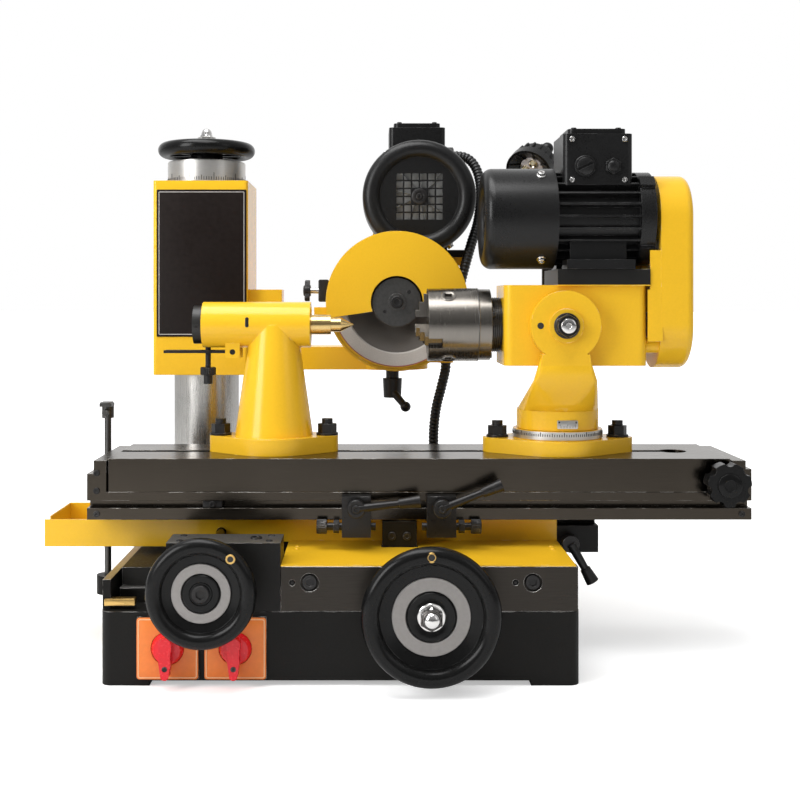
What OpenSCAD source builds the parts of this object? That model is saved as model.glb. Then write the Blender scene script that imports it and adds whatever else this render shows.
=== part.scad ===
// Universal tool and cutter grinder: a cross slide and long table on a cast base, a workhead with a
// three-jaw chuck, a tailstock, and a belt-driven wheelhead that rises on a round column.
// X runs along the table, Y towards the column, Z up; the origin is under the base, below the work axis.

/* [Base] */
// Width of the base casting
base_w = 468; // [460:1:490]
// Depth of the base casting
base_d = 400; // [396:1:430]
// Distance of the base's front face from the work axis
base_front = 150; // [148:1:156]
// Height of the base up to its machined seam
base_h = 72; // [70:1:76]
// Height of the side walls above the seam
wall_h = 29; // [24:1:32]
// Thickness of the side walls
wall_t = 8; // [6:0.5:10]
// Height of the cross ways above the seam
way_h = 15; // [13:0.5:17]
// Width of each cross way
way_w = 34; // [28:1:40]
// Rise of the arch between the feet
foot_rise = 5; // [3:0.5:8]
// Width of each foot along the front
foot_w = 48; // [36:1:60]

/* [Saddle and apron] */
// Thickness of the saddle slab
slab_t = 18; // [15:0.5:20]
// Height of the table guide above the slab
guide_h = 40.7; // [38:0.1:44]
// Right end of the table guide
guide_right = 275; // [262:1:290]
// Left end of the table guide
guide_left = -108; // [-109:1:-100]
// Width of the apron plate
apron_w = 303; // [295:1:306]
// Right end of the apron plate
apron_right = 232; // [228:1:233]
// Thickness of the apron plate
apron_t = 14; // [11:0.5:16]
// Thickness of the tray's sheet steel
sheet_t = 1.5; // [1:0.1:2]
// Left end of the chip tray
tray_left = -321; // [-330:1:-312]

/* [Handwheels and feed] */
// Outer radius of the cross-feed handwheel
cross_wheel_r = 67; // [60:0.5:70]
// Place of the cross-feed screw along the table
cross_x = 87; // [80:1:94]
// Height of the cross-feed screw
cross_z = 76; // [75:0.5:77]
// Radius of the cross-feed screw
cross_screw_r = 8; // [7:0.25:8.5]
// Outer radius of the table-feed handwheel
feed_wheel_r = 53; // [46:0.5:56]
// Place of the table-feed shaft along the table
feed_x = -131; // [-134:1:-128]
// Radius of the table-feed shaft
feed_shaft_r = 6; // [5:0.25:7]
// Tooth module of the rack and its pinion
rack_module = 1.25; // [1.25:0.25:1.25]
// Teeth on the rack pinion
pinion_teeth = 16; // [16:4:16]
// Tooth module of the handwheel's gear pair
feed_module = 1; // [1:0.25:1]
// Teeth on the handwheel's gear
drive_teeth = 40; // [40:4:40]
// Teeth on the gear that it drives
driven_teeth = 16; // [16:4:16]

/* [Table] */
// Length of the table
table_len = 695; // [680:1:720]
// Left end of the table
table_left = -267; // [-272:1:-262]
// Width of the table
table_w = 130; // [128:1:134]
// Height of the lower table
lower_h = 28.7; // [27:0.1:32]
// Height of the upper table
upper_h = 34.7; // [32:0.1:38]
// Width of the T-slot's neck
slot_neck = 14; // [13:0.5:16]
// Width of the T-slot's head
slot_head = 25; // [24:0.5:28]
// Height of the T-slot's neck
slot_neck_h = 11; // [9:0.5:13]
// Height of the T-slot's head
slot_head_h = 10; // [9:0.5:11]
// Height of the groove along the table's front
groove_h = 8; // [7:0.5:9]
// Depth of the groove along the table's front
groove_d = 14; // [11:0.5:16]

/* [Work axis] */
// Height of the work axis above the table
center_h = 139; // [134:0.5:146]
// Place of the tailstock post along the table
tail_x = -76.5; // [-82:0.5:-72]
// Radius of the tailstock barrel
barrel_r = 25; // [23:0.5:28]
// Radius of the tailstock quill
quill_r = 14; // [12:0.5:16]
// Place of the workhead post along the table
work_x = 235; // [230:0.5:240]
// Width of the workhead body along the work axis
head_len = 152; // [148:1:156]
// Height of the workhead body
head_h = 86; // [80:1:92]
// Depth of the workhead body
head_d = 90; // [84:1:94]
// Radius of the three-jaw chuck
chuck_r = 40; // [36:0.5:42]
// Length of the chuck
chuck_len = 68; // [60:1:70]
// Radius of the bore through the chuck and spindle
chuck_bore_r = 8; // [6:0.5:9]
// Radius of the work spindle
work_spindle_r = 20; // [17:0.5:24]
// Height of the motor axis above the work axis
work_motor_rise = 116; // [113:1:122]

/* [Column and wheelhead] */
// Radius of the column
column_r = 40; // [36:0.5:42]
// Place of the column along the table
column_x = -175; // [-180:1:-170]
// Place of the column behind the work axis
column_y = 180; // [178:1:186]
// Width of the box that rides on the column
box_w = 114; // [110:1:118]
// Height of the box's lower edge
box_z = 286; // [280:1:292]
// Height of the box
box_h = 234; // [226:1:244]
// Outer radius of the lift handwheel
lift_wheel_r = 60; // [52:0.5:66]
// Radius of the grinding wheel
wheel_r = 75; // [65:0.5:76]
// Place of the wheel axis along the table
wheel_x = 60; // [56:0.5:64]
// Height of the wheel axis above the arm
wheel_rise = 54.5; // [50:0.5:60]
// Distance of the wheel guard's front from the work axis
guard_y = 62; // [60:0.5:66]
// Radius of the wheel guard
guard_r = 82; // [80:0.5:84]
// Depth of the wheel guard
guard_d = 42; // [38:0.5:44]
// Radius of the wheel spindle
wheel_spindle_r = 14; // [12:0.5:17]
// Place of the wheel motor along the table
wheel_motor_x = 88; // [84:0.5:92]
// Radius of the wheel motor's fan cowl
wheel_cowl_r = 68; // [64:0.5:70]
// Shaft height of the wheel motor above its feet
wheel_motor_foot = 71; // [71:0.5:74]

/* [Clearances] */
// Gap between pieces that slide or swing past each other
slide_gap = 0.3; // [0.25:0.05:0.4]
// Radial clearance of a shaft in its bore
fit_gap = 0.05; // [0.03:0.01:0.1]

/* [Hidden] */
$fn = 64;

// Heights of the machine from the floor up
way_z = base_h + way_h;
slab_z = way_z + slide_gap;
guide_z = slab_z + slab_t;
guide_top = guide_z + guide_h;
lower_z = guide_top + slide_gap;
upper_z = lower_z + lower_h + slide_gap;
table_top = upper_z + upper_h;
axis_z = table_top + center_h;

// Base
base_x = base_w / 2;
base_y0 = -base_front;
base_y1 = base_d - base_front;
base_corner_r = 10;
way_out = base_x - wall_t - 4;
way_in = way_out - way_w;
way_mid = (way_in + way_out) / 2;
way_y1 = 115;
wall_top = base_h + wall_h;
trough_z = 40;
trough_x = way_in - 8;
front_wall = 15;
column_boss_r = column_r + 16;
column_boss_h = 30;
column_z = 30;
column_top = box_z + box_h - 80;

// Switches on the base's front
switch_xs = [-168, -102];
switch_z = 37;
switch_plate = 60;
switch_plate_t = 2.5;
switch_front = base_y0 - switch_plate_t;
switch_pin_r = 4;
switch_pin_len = 12;

// Tooth-rest rod on the base's left side
rest_x = -281;
rest_y = 100;
rest_r = 4;
rest_lug_r = 13;
rest_lug_z = 30;
rest_lug_h = 22;
rest_lug_top = rest_lug_z + rest_lug_h;
rest_len = 200;
rest_rod_z = 53;

// Lamp behind the workhead
lamp_x = base_x - 14;
lamp_y = 231;
lamp_neck_r = 7;
lamp_shift = 38;
lamp_bend_h = 112;
lamp_bend_a = 2 * atan(lamp_shift / lamp_bend_h);
lamp_bend_r = lamp_bend_h / (2 * sin(lamp_bend_a));
lamp_foot_h = 22;
lamp_ball_z = 572;
lamp_ball_r = 8;
lamp_pin_r = 4;
lamp_neck_top = lamp_ball_z - 21;
lamp_tilt = 32;
lamp_turn = -32;
lamp_r = 30;
lamp_set_back = 12;
lamp_len = 52;

// Saddle, apron and tray
saddle_y = 105;
lip_w = 12;
lip_mid = way_in - slide_gap - lip_w / 2;
web_y = -base_front + apron_t;
way_y0 = web_y + 20;
web_top = guide_z + 10.4;
apron_z = base_h + slide_gap;
apron_top = web_top + slide_gap;
apron_left = apron_right - apron_w;
web_left = apron_left + 13;
web_right = apron_right - 12;
guide_y0 = -27;
guide_y1 = 60;
rack_room_y = -6;
rack_room_z = guide_top - 13;
key_y = 27;
key_neck = 20;
key_head = 28;
key_h = 9;
key_gap = 0.5;
tray_wall_y = guide_y0 - sheet_t - 0.5;
tray_rear_y = 80;
tray_z = 111;
tray_top = 140;
anvil_x = 60;
anvil_w = 36;
anvil_y = -64;
anvil_d = 18;
anvil_top = lower_z - 1.5;
lock_x = 243;
lock_z = 116;
lock_pin_r = 5;

// Table feed: handwheel gear, driven gear and rack pinion
pinion_r = rack_module * pinion_teeth / 2;
rack_pitch_z = lower_z - 10.3;
pinion_z = rack_pitch_z - pinion_r;
pinion_shaft_r = 4.5;
feed_z = pinion_z - feed_module * (drive_teeth + driven_teeth) / 2;
rack_y = -24;
rack_w = 14;
rack_len = 272;
rack_left = table_left + 10;
gear_box_left = feed_x - 39;
gear_box_right = apron_left + 13 - slide_gap;
gear_box_y = -105;
gear_box_top = pinion_z + 13;
gear_box_wall = 3;
gear_box_rear = 7;
gear_y = -140;
gear_w = 12;

// Handwheels
wheel_gap_y = 27;
hub_len = wheel_gap_y + 6;
hub_front = base_y0 - slide_gap - hub_len;
cross_rim = 18;
cross_hub_r = 25;
notch_r = cross_hub_r + 2;
feed_rim = 16;
feed_hub_r = 20;

// Table
table_right = table_left + table_len;
table_y = table_w / 2;
table_mid = table_left + table_len / 2;
bracket_w = 20;
bracket_gap = 2.5;
left_step_z = upper_z + 19;
right_step_z = upper_z + 24;
upper_left = table_left + bracket_w + bracket_gap;
upper_right = table_right - bracket_w - bracket_gap;
pivot_r = 10;
pivot_h = 9;
slot_z = table_top - slot_neck_h - slot_head_h;
slot_end = upper_right - 44;
slot_entry_r = 15;
groove_z = lower_z + 12;
knob_x = upper_right - 8.5;
knob_z = upper_z + 11;
knob_r = 22.5;
knob_y = table_y + 11;

// Table dogs on the front groove
dog_xs = [15, 103];
dog_w = 30;
dog_d = 18;
dog_low = pinion_z + pinion_shaft_r + 0.5;
dog_pin_r = 5;
dog_pin_z = groove_z + groove_h / 2;
dog_screw_z = 141;
dog_screw_r = 4;
dog_y1 = -table_y - slide_gap;
dog_y0 = dog_y1 - dog_d;

// Hold-down bolts
bolt_r = 6;
bolt_head = slot_head - 2;
bolt_head_h = slot_head_h - 1;
nut_r = 10.4;
nut_h = 10;
washer_r = 12;
washer_h = 2.5;

// Tailstock
tail_plate_h = 18;
tail_reach = 58.5;
tail_belly = 50;
plate_tip = 12;
barrel_left = tail_x - 77.5;
barrel_right = tail_x + 40.5;
barrel_wall = 4;
quill_left = barrel_left + 27;
center_tip_x = barrel_right + 47;
cone_len = 14;
cone_r = 8;
quill_rod_r = 6;
lever_x = tail_x - 44;
lever_z = axis_z - barrel_r - 4.5;
lever_w = 20;
lever_t = 3;
ear_t = 5;
ear_y = lever_w / 2 + ear_t / 2 + 0.5;
lever_len = 76;
lever_pin_r = 3;
thumb_x = barrel_left + 5;
thumb_r = 3;

// Workhead
work_plate_h = 16;
work_reach = 66;
work_belly = 56;
work_tip = 16;
ring_r = 48.4;
ring_h = 10;
post_z = table_top + work_plate_h + ring_h + slide_gap;
collar_r = 44.5;
collar_h = 20;
boss_r = 37;
boss_t = 16;
boss_y = -head_d / 2 - slide_gap - boss_t;
stud_r = 8;
post_pin_r = 14;
head_left = work_x - 63;
head_right = head_left + head_len;
head_x = head_left + head_len / 2;
head_z = axis_z - head_h / 2;
head_top = head_z + head_h;
nose_len = 12;
nose_r = 29;
chuck_right = head_left - nose_len;
chuck_left = chuck_right - chuck_len;
chuck_plate = 12;
jaw_w = 12;
jaw_depth = 15;
jaw_out = 13;
jaw_r0 = chuck_bore_r + 0.6;
spindle_bore_r = chuck_bore_r + 2;
jaw_r1 = 34;
work_motor_z = axis_z + work_motor_rise;
work_motor_x0 = head_left - 21;
work_cowl_r = 55;
work_cowl_len = 78;
work_body_len = 88;
work_shield = 20;
work_shaft_r = 7;
work_rotor_r = 30;
work_motor_len = work_cowl_len + work_body_len + work_shield;
motor_plate_top = work_motor_z - 56;
belt_guard_x0 = work_motor_x0 + work_motor_len + 1;
belt_guard_x1 = belt_guard_x0 + 36;
belt_guard_r = 47;
work_pulley_r = 36;
work_motor_pulley_r = 27;
pulley_w = 16;
pulley_x = belt_guard_x0 + 11;
belt_t = 5;
belt_w = pulley_w - 9;
belt_side = (pulley_w - belt_w) / 2;

// Column sleeve, box and lift
sleeve_r = column_r + 11;
box_top = box_z + box_h;
dial_r = 47.5;
dial_h = 27;
cap_t = 16;
lift_screw_r = 9;
lift_nut_h = 40;
lift_nut_r = column_r - 18;
lift_hub_z = box_top + dial_h + slide_gap;
lift_rim = 22;

// Arm and wheelhead
arm_z = 291;
arm_h = 28;
arm_top = arm_z + arm_h;
arm_y0 = column_y - 30;
arm_y1 = column_y + 30;
arm_left = column_x + box_w / 2;
pivot_x = 57;
arm_right = pivot_x + 44;
pivot_pin_r = 14;
wheel_z = arm_top + slide_gap + wheel_rise;
guard_back = guard_y + guard_d;
housing_r = 38;
housing_y0 = guard_back + 2;
housing_len = 156;
housing_y1 = housing_y0 + housing_len;
wheel_front = guard_y + 6;
wheel_w = 26;
motor_seat_z = wheel_z + 55;
wheel_motor_z = motor_seat_z + wheel_motor_foot;
wheel_motor_y0 = guard_back + 1;
wheel_cowl_len = 66;
wheel_body_len = 86;
wheel_shield = 22;
wheel_shaft_r = 8;
wheel_rotor_r = 36;
wheel_motor_len = wheel_cowl_len + wheel_body_len + wheel_shield;
cover_y0 = wheel_motor_y0 + wheel_motor_len;
cover_d = 36;
cover_r = 46;
wheel_pulley_r = 27;
wheel_motor_pulley_r = 34;
wheel_pulley_y = cover_y0 + 11;
belt_run = norm([wheel_motor_x - wheel_x, wheel_motor_z - wheel_z]);
belt_lean = atan2(wheel_motor_z - wheel_z, wheel_motor_x - wheel_x);
clamp_arm_len = 30;

// Corrugated conduit from the wheel motor to the base
hose_r = 6.3;
hose_bore_r = 4.4;
hose_rib = 0.9;
rib_pitch = 4.4;
clip_at = [121, 143, 306];
gland_x = 134;
gland_y = 190;
gland_z = wheel_motor_z + wheel_cowl_r - 10;
gland_r = 8;
gland_depth = 8;
hose_gland = [112, 150, 90];
gland_top = 100;
upper_route = [
    [gland_x - gland_depth + 1, gland_y, gland_z], [148, gland_y, gland_z - 2],
    [160, 186, 545], [166, 178, 525], [166, 167, 500],
    [161, 153, 470], [152, 139, 444], [143, 129, 415], [135, 125, 385], [128, 130, 355],
    [122, 140, 332], [clip_at[0], clip_at[1], 318], [clip_at[0], clip_at[1], clip_at[2]]
];
lower_route = [
    [clip_at[0], clip_at[1], clip_at[2] - slide_gap], [clip_at[0], clip_at[1], 292], [116, 144, 270],
    [110, 146, 245], [107, 148, 218], [107, 149, 190], [109, 150, 160], [111, 150, 136],
    [hose_gland[0], hose_gland[1], 116], [hose_gland[0], hose_gland[1], hose_gland[2]]
];

// Plain building blocks

// A box between two corners
module block(x0, x1, y0, y1, z0, z1) {
    translate([x0, y0, z0]) cube([x1 - x0, y1 - y0, z1 - z0]);
}

// Round bars and cones along each axis
module rod_x(r, x0, x1, y, z, r2 = -1) {
    translate([x0, y, z]) rotate([0, 90, 0]) cylinder(r1 = r, r2 = r2 < 0 ? r : r2, h = x1 - x0);
}

module rod_y(r, y0, y1, x, z, r2 = -1) {
    translate([x, y0, z]) rotate([-90, 0, 0]) cylinder(r1 = r, r2 = r2 < 0 ? r : r2, h = y1 - y0);
}

module rod_z(r, z0, z1, x, y, r2 = -1) {
    translate([x, y, z0]) cylinder(r1 = r, r2 = r2 < 0 ? r : r2, h = z1 - z0);
}

// A rectangle with round corners
module round_rect(w, d, r) {
    square([w - 2 * r, d], center = true);
    square([w, d - 2 * r], center = true);
    for (x = [-1, 1], y = [-1, 1]) {
        translate([x * (w / 2 - r), y * (d / 2 - r)]) circle(r);
    }
}

// Two circles joined by their outer tangents, the second one at [run, 0]
module strap(run, r1, r2) {
    circle(r1);
    translate([run, 0]) circle(r2);
    polygon(strap_sides(run, r1, r2));
}

// Touching points of the tangents of two circles
function strap_sides(run, r1, r2) =
    let (lean = acos((r1 - r2) / run), side = [cos(lean), sin(lean)], down = [cos(lean), -sin(lean)])
    [r1 * side, [run, 0] + r2 * side, [run, 0] + r2 * down, r1 * down];

// The same outline as a block of its own height, its straight sides a hair inside its round ends
module strap_block(run, r1, r2, h) {
    seam = 0.02;
    cylinder(r = r1, h = h);
    translate([run, 0, 0]) cylinder(r = r2, h = h);
    linear_extrude(h) polygon(strap_sides(run, r1 - seam, r2 - seam));
}

// A foot plate with a wide belly and two narrow ends
module boat(reach, belly, tip) {
    strap(reach, belly, tip);
    mirror([1, 0]) strap(reach, belly, tip);
}

// Flank of an involute tooth: radius and angle at one step of its roll
function flank(base_r, roll) = [base_r * sqrt(1 + (roll * PI / 180) ^ 2), roll - atan(roll * PI / 180)];

// Outline of an involute gear whose first tooth lies on +X
function gear_outline(size, teeth, thin) =
    let (
        pitch_r = size * teeth / 2,
        base_r = pitch_r * cos(20),
        half = 90 / teeth + tan(20) * 180 / PI - 20 - thin,
        roll_end = sqrt(((pitch_r + size) / base_r) ^ 2 - 1) * 180 / PI,
        rise = [for (i = [0 : 3]) flank(base_r, roll_end * i / 3)],
        root = pitch_r - 1.25 * size,
        tooth = concat(
            [[root, -half]],
            [for (p = rise) [p[0], p[1] - half]],
            [for (i = [3 : -1 : 0]) [rise[i][0], half - rise[i][1]]],
            [[root, half]]
        )
    )
    [for (k = [0 : teeth - 1]) for (p = tooth)
        let (a = 360 * k / teeth + p[1])
        p[0] * [cos(a), sin(a)]];

// A gear on a shaft along Y, turned by its phase
module spur_gear(size, teeth, phase, y, w, x, z) {
    translate([x, y, z]) rotate([90, 0, 0]) translate([0, 0, -w]) rotate(phase)
        linear_extrude(w) polygon(gear_outline(size, teeth, 0.7));
}

// A dished handwheel about Z: the hub's back at 0, the rim's middle at rim_z
module hand_wheel(rim_r, rim_w, rim_z, hub_r, hub_h, bore_r) {
    rim_mid = rim_r - rim_w / 2;
    difference() {
        union() {
            rotate_extrude($fn = 96) translate([rim_mid, rim_z]) circle(rim_w / 2);
            cylinder(r = hub_r, h = hub_h);
            rotate_extrude($fn = 96) polygon([
                [hub_r - 1, hub_h - 7], [hub_r - 1, hub_h], [hub_r * 1.35, hub_h],
                [rim_mid, rim_z + 3], [rim_mid, rim_z - 3], [hub_r * 1.4, hub_h - 7]
            ]);
        }
        translate([0, 0, -1]) cylinder(r = bore_r, h = hub_h + 2);
    }
}

// Motor casing along +X from its fan cowl: finned body, drive-end shield, terminal box and feet
module motor_casing(cowl_r, cowl_len, body_len, shield, foot, box_size, mesh_pitch, shaft_r, rotor_r) {
    body_r = cowl_r - 13;
    fin_r = cowl_r - 4;
    edge = 11;
    recess = 6;
    wall = 2.2;
    mesh_r = cowl_r * 0.55;
    cells = floor(mesh_r / mesh_pitch);
    len = cowl_len + body_len + shield;
    difference() {
        union() {
            rotate([0, 90, 0]) rotate_extrude() {
                translate([0, recess]) square([cowl_r - edge, cowl_len - recess]);
                translate([0, edge]) square([cowl_r, cowl_len - edge]);
                translate([cowl_r - edge, edge]) circle(edge);
            }
            rod_x(body_r, cowl_len, len - 4, 0, 0);
            rod_x(fin_r, len - shield, len - 4, 0, 0);
            rod_x(body_r * 0.55, len - 4, len, 0, 0);
            for (k = [0 : 23]) {
                rotate([15 * k, 0, 0]) block(cowl_len - 4, len - shield + 1, -1.1, 1.1, body_r - 2, fin_r);
            }
            for (k = [0 : 3]) {
                rotate([45 + 90 * k, 0, 0]) block(len - shield, len - 4, -7, 7, body_r, fin_r + 4);
            }
            for (s = [-1, 1]) {
                block(cowl_len + 8, len - shield - 8, min(s * 20, s * cowl_r), max(s * 20, s * cowl_r),
                    -foot, -foot + 10);
                block(cowl_len + 14, len - shield - 14, s * 32 - 6, s * 32 + 6, -foot, -body_r * 0.6);
            }
            translate([cowl_len + body_len / 2, 0, 0]) {
                translate([0, 0, body_r - 8]) linear_extrude(cowl_r - body_r + 14 + box_size[2])
                    round_rect(box_size[0], box_size[1], 6);
                translate([0, 0, cowl_r + 6 + box_size[2]]) linear_extrude(6)
                    round_rect(box_size[0] - 12, box_size[1] - 12, 6);
            }
        }
        rotate([0, 90, 0]) translate([0, 0, wall]) rotate_extrude() {
            translate([0, recess]) square([cowl_r - edge, cowl_len - wall - recess - 6]);
            translate([0, edge]) square([cowl_r - wall, cowl_len - wall - edge - 6]);
            translate([cowl_r - edge, edge]) circle(edge - wall);
        }
        for (i = [-cells : cells - 1], j = [-cells : cells - 1]) {
            at = [(i + 0.5) * mesh_pitch, (j + 0.5) * mesh_pitch];
            if (norm(at) < mesh_r && (abs(i + 0.5) > 1 || abs(j + 0.5) > 1)) {
                translate([recess + wall / 2, at[0], at[1]])
                    cube([wall + 2, mesh_pitch - 2, mesh_pitch - 2], center = true);
            }
        }
        rod_x(rotor_r + 0.6, cowl_len + 6, len - shield, 0, 0);
        rod_x(shaft_r + fit_gap, cowl_len - 10, len + 1, 0, 0);
    }
}

// Rotor along +X: fan, core, shaft and a grooved pulley beyond the drive end
module motor_rotor(fan_r, fan_x, core_x0, core_x1, core_r, shaft_r, pulley_x0, sheave_r) {
    rod_x(shaft_r, fan_x, pulley_x0 + pulley_w + 1, 0, 0);
    rod_x(core_r, core_x0, core_x1, 0, 0);
    rod_x(shaft_r + 6, fan_x + 1, fan_x + 17, 0, 0);
    for (k = [0 : 5]) {
        rotate([60 * k, 0, 0]) block(fan_x + 2, fan_x + 16, -1.2, 1.2, shaft_r + 4, fan_r);
    }
    translate([pulley_x0, 0, 0]) sheave(sheave_r, shaft_r);
}

// A grooved pulley about X, its groove as deep as the belt
module sheave(r, bore_r) {
    rotate([0, 90, 0]) rotate_extrude() polygon([
        [bore_r - 1, 0], [r, 0], [r, 2], [r - belt_t - 1, 4], [r - belt_t - 1, pulley_w - 4],
        [r, pulley_w - 2], [r, pulley_w], [bore_r - 1, pulley_w]
    ]);
}

// A belt loop in a plane square to X, from a pulley at the origin to one at [run, 0]
module belt_loop(run, r1, r2) {
    difference() {
        strap_block(run, r1, r2, belt_w);
        translate([0, 0, -1]) strap_block(run, r1 - belt_t, r2 - belt_t, belt_w + 2);
    }
}

// A pulley cover: two round ends joined along [run, 0], rounded along its outer edge
module pulley_cover(run, r, depth, edge) {
    for (x = [0, run]) {
        translate([x, 0, 0]) rotate_extrude() cover_section(r, depth, edge);
    }
    rotate([90, 0, 90]) linear_extrude(run) {
        cover_section(r, depth, edge);
        mirror([1, 0]) cover_section(r, depth, edge);
    }
}

module cover_section(r, depth, edge) {
    square([r, depth - edge]);
    square([r - edge, depth]);
    translate([r - edge, depth - edge]) circle(edge);
}

// Swept conduit: rings along a smooth route, with ribs on the outside and a bore
function spline(a, b, c, d, t) = 0.5 * (2 * b + (c - a) * t + (2 * a - 5 * b + 4 * c - d) * t ^ 2
    + (3 * b - 3 * c + d - a) * t ^ 3);
function pick(route, i) = route[min(max(i, 0), len(route) - 1)];
function route_at(route, s) =
    let (i = min(floor(s), len(route) - 2))
    spline(pick(route, i - 1), route[i], route[i + 1], pick(route, i + 2), s - i);
function unit(v) = v / norm(v);
function ring(center, along, r, sides) =
    let (u = unit(cross(along, [0.2, 1, 0.1])), v = cross(along, u))
    [for (k = [0 : sides - 1]) center + r * (u * cos(360 * k / sides) + v * sin(360 * k / sides))];
function route_length(route) =
    let (steps = 12 * (len(route) - 1))
    sum([for (i = [1 : steps]) norm(route_at(route, i / 12) - route_at(route, (i - 1) / 12))]);
function sum(list) = list * [for (i = list) 1];

module ribbed_hose(route) {
    sides = 8;
    ribs = floor(route_length(route) / rib_pitch);
    last = len(route) - 1;
    steps = 2 * ribs;
    spots = [for (i = [0 : steps]) last * i / steps];
    near = 0.02;
    along = [for (s = spots) unit(route_at(route, min(s + near, last)) - route_at(route, max(s - near, 0)))];
    outer = [for (i = [0 : steps]) each ring(route_at(route, spots[i]), along[i],
        i % 2 == 0 ? hose_r - hose_rib : hose_r, sides)];
    inner = [for (i = [0 : steps]) each ring(route_at(route, spots[i]), along[i], hose_bore_r, sides)];
    shift = len(outer);
    faces = [
        for (i = [0 : steps - 1], k = [0 : sides - 1])
            let (a = i * sides + k, b = i * sides + (k + 1) % sides)
            each [
                [a, b, b + sides], [a, b + sides, a + sides],
                [shift + b, shift + a, shift + a + sides], [shift + b, shift + a + sides, shift + b + sides]
            ],
        for (k = [0 : sides - 1])
            let (b = (k + 1) % sides, e = steps * sides)
            each [
                [k, shift + k, shift + b], [k, shift + b, b],
                [e + b, shift + e + b, shift + e + k], [e + b, shift + e + k, e + k]
            ]
    ];
    polyhedron(concat(outer, inner), faces);
}

// Base and what is fixed to it

module base_casting() {
    color("#1c1c1d")
        difference() {
            union() {
                translate([0, (base_y0 + base_y1) / 2, 0]) linear_extrude(base_h)
                    round_rect(base_w, base_d, base_corner_r);
                block(-base_x, -base_x + wall_t, base_y0 + base_corner_r, way_y1, base_h - 1, wall_top);
                block(base_x - wall_t, base_x, way_y0, way_y1, base_h - 1, wall_top);
                for (s = [-1, 1]) {
                    block(s * way_mid - way_w / 2, s * way_mid + way_w / 2, way_y0, way_y1,
                        base_h - 1, way_z);
                }
                rod_z(column_boss_r, base_h - 1, base_h + column_boss_h, column_x, column_y);
                rod_z(rest_lug_r, rest_lug_z, rest_lug_top, rest_x, rest_y);
                block(rest_x, -base_x + 1, rest_y - 8, rest_y + 8, rest_lug_z + 3, rest_lug_top - 3);
                rod_z(hose_r + 4, base_h - 1, gland_top, hose_gland[0], hose_gland[1]);
                for (x = switch_xs) {
                    block(x - switch_plate / 2, x + switch_plate / 2, switch_front, base_y0 + 1,
                        switch_z - switch_plate / 2, switch_z + switch_plate / 2);
                }
            }
            block(-trough_x, trough_x, base_y0 + front_wall, way_y1, trough_z, base_h + 1);
            block(cross_x - notch_r, cross_x + notch_r, base_y0 - 1, base_y0 + front_wall + 1,
                cross_z - notch_r, base_h + 1);
            for (y = [base_y0 - 1, base_y1 - 19]) {
                block(-base_x + foot_w, base_x - foot_w, y, y + 20, -1, foot_rise);
            }
            for (x = [-base_x - 1, base_x - 19]) {
                block(x, x + 20, base_y0 + foot_w, base_y1 - foot_w, -1, foot_rise);
            }
            rod_z(column_r + fit_gap, column_z, base_h + column_boss_h + 1, column_x, column_y);
            rod_z(rest_r + fit_gap, rest_lug_z - 1, rest_lug_top + 1, rest_x, rest_y);
            rod_z(hose_r + slide_gap, column_z, gland_top + 1, hose_gland[0], hose_gland[1]);
            for (x = switch_xs) {
                rod_y(switch_pin_r + fit_gap, switch_front - 1, base_y0 + switch_pin_len, x, switch_z);
            }
        }
}

module column() {
    color("#c9ccd0")
        difference() {
            rod_z(column_r, column_z, column_top, column_x, column_y);
            rod_z(lift_screw_r + 5, column_z - 1, column_top - lift_nut_h, column_x, column_y);
            rod_z(lift_nut_r + fit_gap, column_top - lift_nut_h, column_top + 1, column_x, column_y);
        }
}

// Bronze nuts of the lift screw and the cross screw
module feed_nuts() {
    color("#a8782f") {
        difference() {
            rod_z(lift_nut_r, column_top - lift_nut_h, column_top, column_x, column_y);
            rod_z(lift_screw_r + fit_gap, column_top - lift_nut_h - 1, column_top + 1, column_x, column_y);
        }
        difference() {
            block(cross_x - 17, cross_x + 17, 10, 42, trough_z, slab_z - 1.3);
            rod_y(cross_screw_r + fit_gap, 9, 43, cross_x, cross_z);
        }
    }
}

module switch_knob(x) {
    front = switch_front - slide_gap;
    color("#d8262c") {
        rod_y(switch_pin_r, front - 1, base_y0 + switch_pin_len - 1, x, switch_z);
        rod_y(13, front - 7, front, x, switch_z, 16);
        translate([x, front - 6, switch_z - 8]) rotate([90, 0, 0]) linear_extrude(12) {
            rotate(90) strap(16, 5, 6.5);
            rotate(-90) strap(14, 6, 4);
        }
    }
}

module switch_knob_left() {
    switch_knob(switch_xs[0]);
}

module switch_knob_right() {
    switch_knob(switch_xs[1]);
}

// Tooth-rest rod with its clamp collar and flat blade
module rest_rod() {
    top = rest_rod_z + rest_len;
    color("#55585c") {
        rod_z(rest_r, rest_lug_z + 2, top, rest_x, rest_y);
        rod_z(7, top - 16, top - 2, rest_x, rest_y);
        block(rest_x - 7, rest_x + 7, rest_y - 14, rest_y + 3, top - 2, top + 2);
    }
}

// Bend of the lamp's neck in the XZ plane
module neck_bend(turn) {
    rotate([90, 0, 0]) rotate_extrude(angle = turn) translate([lamp_bend_r, 0]) circle(lamp_neck_r);
}

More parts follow.
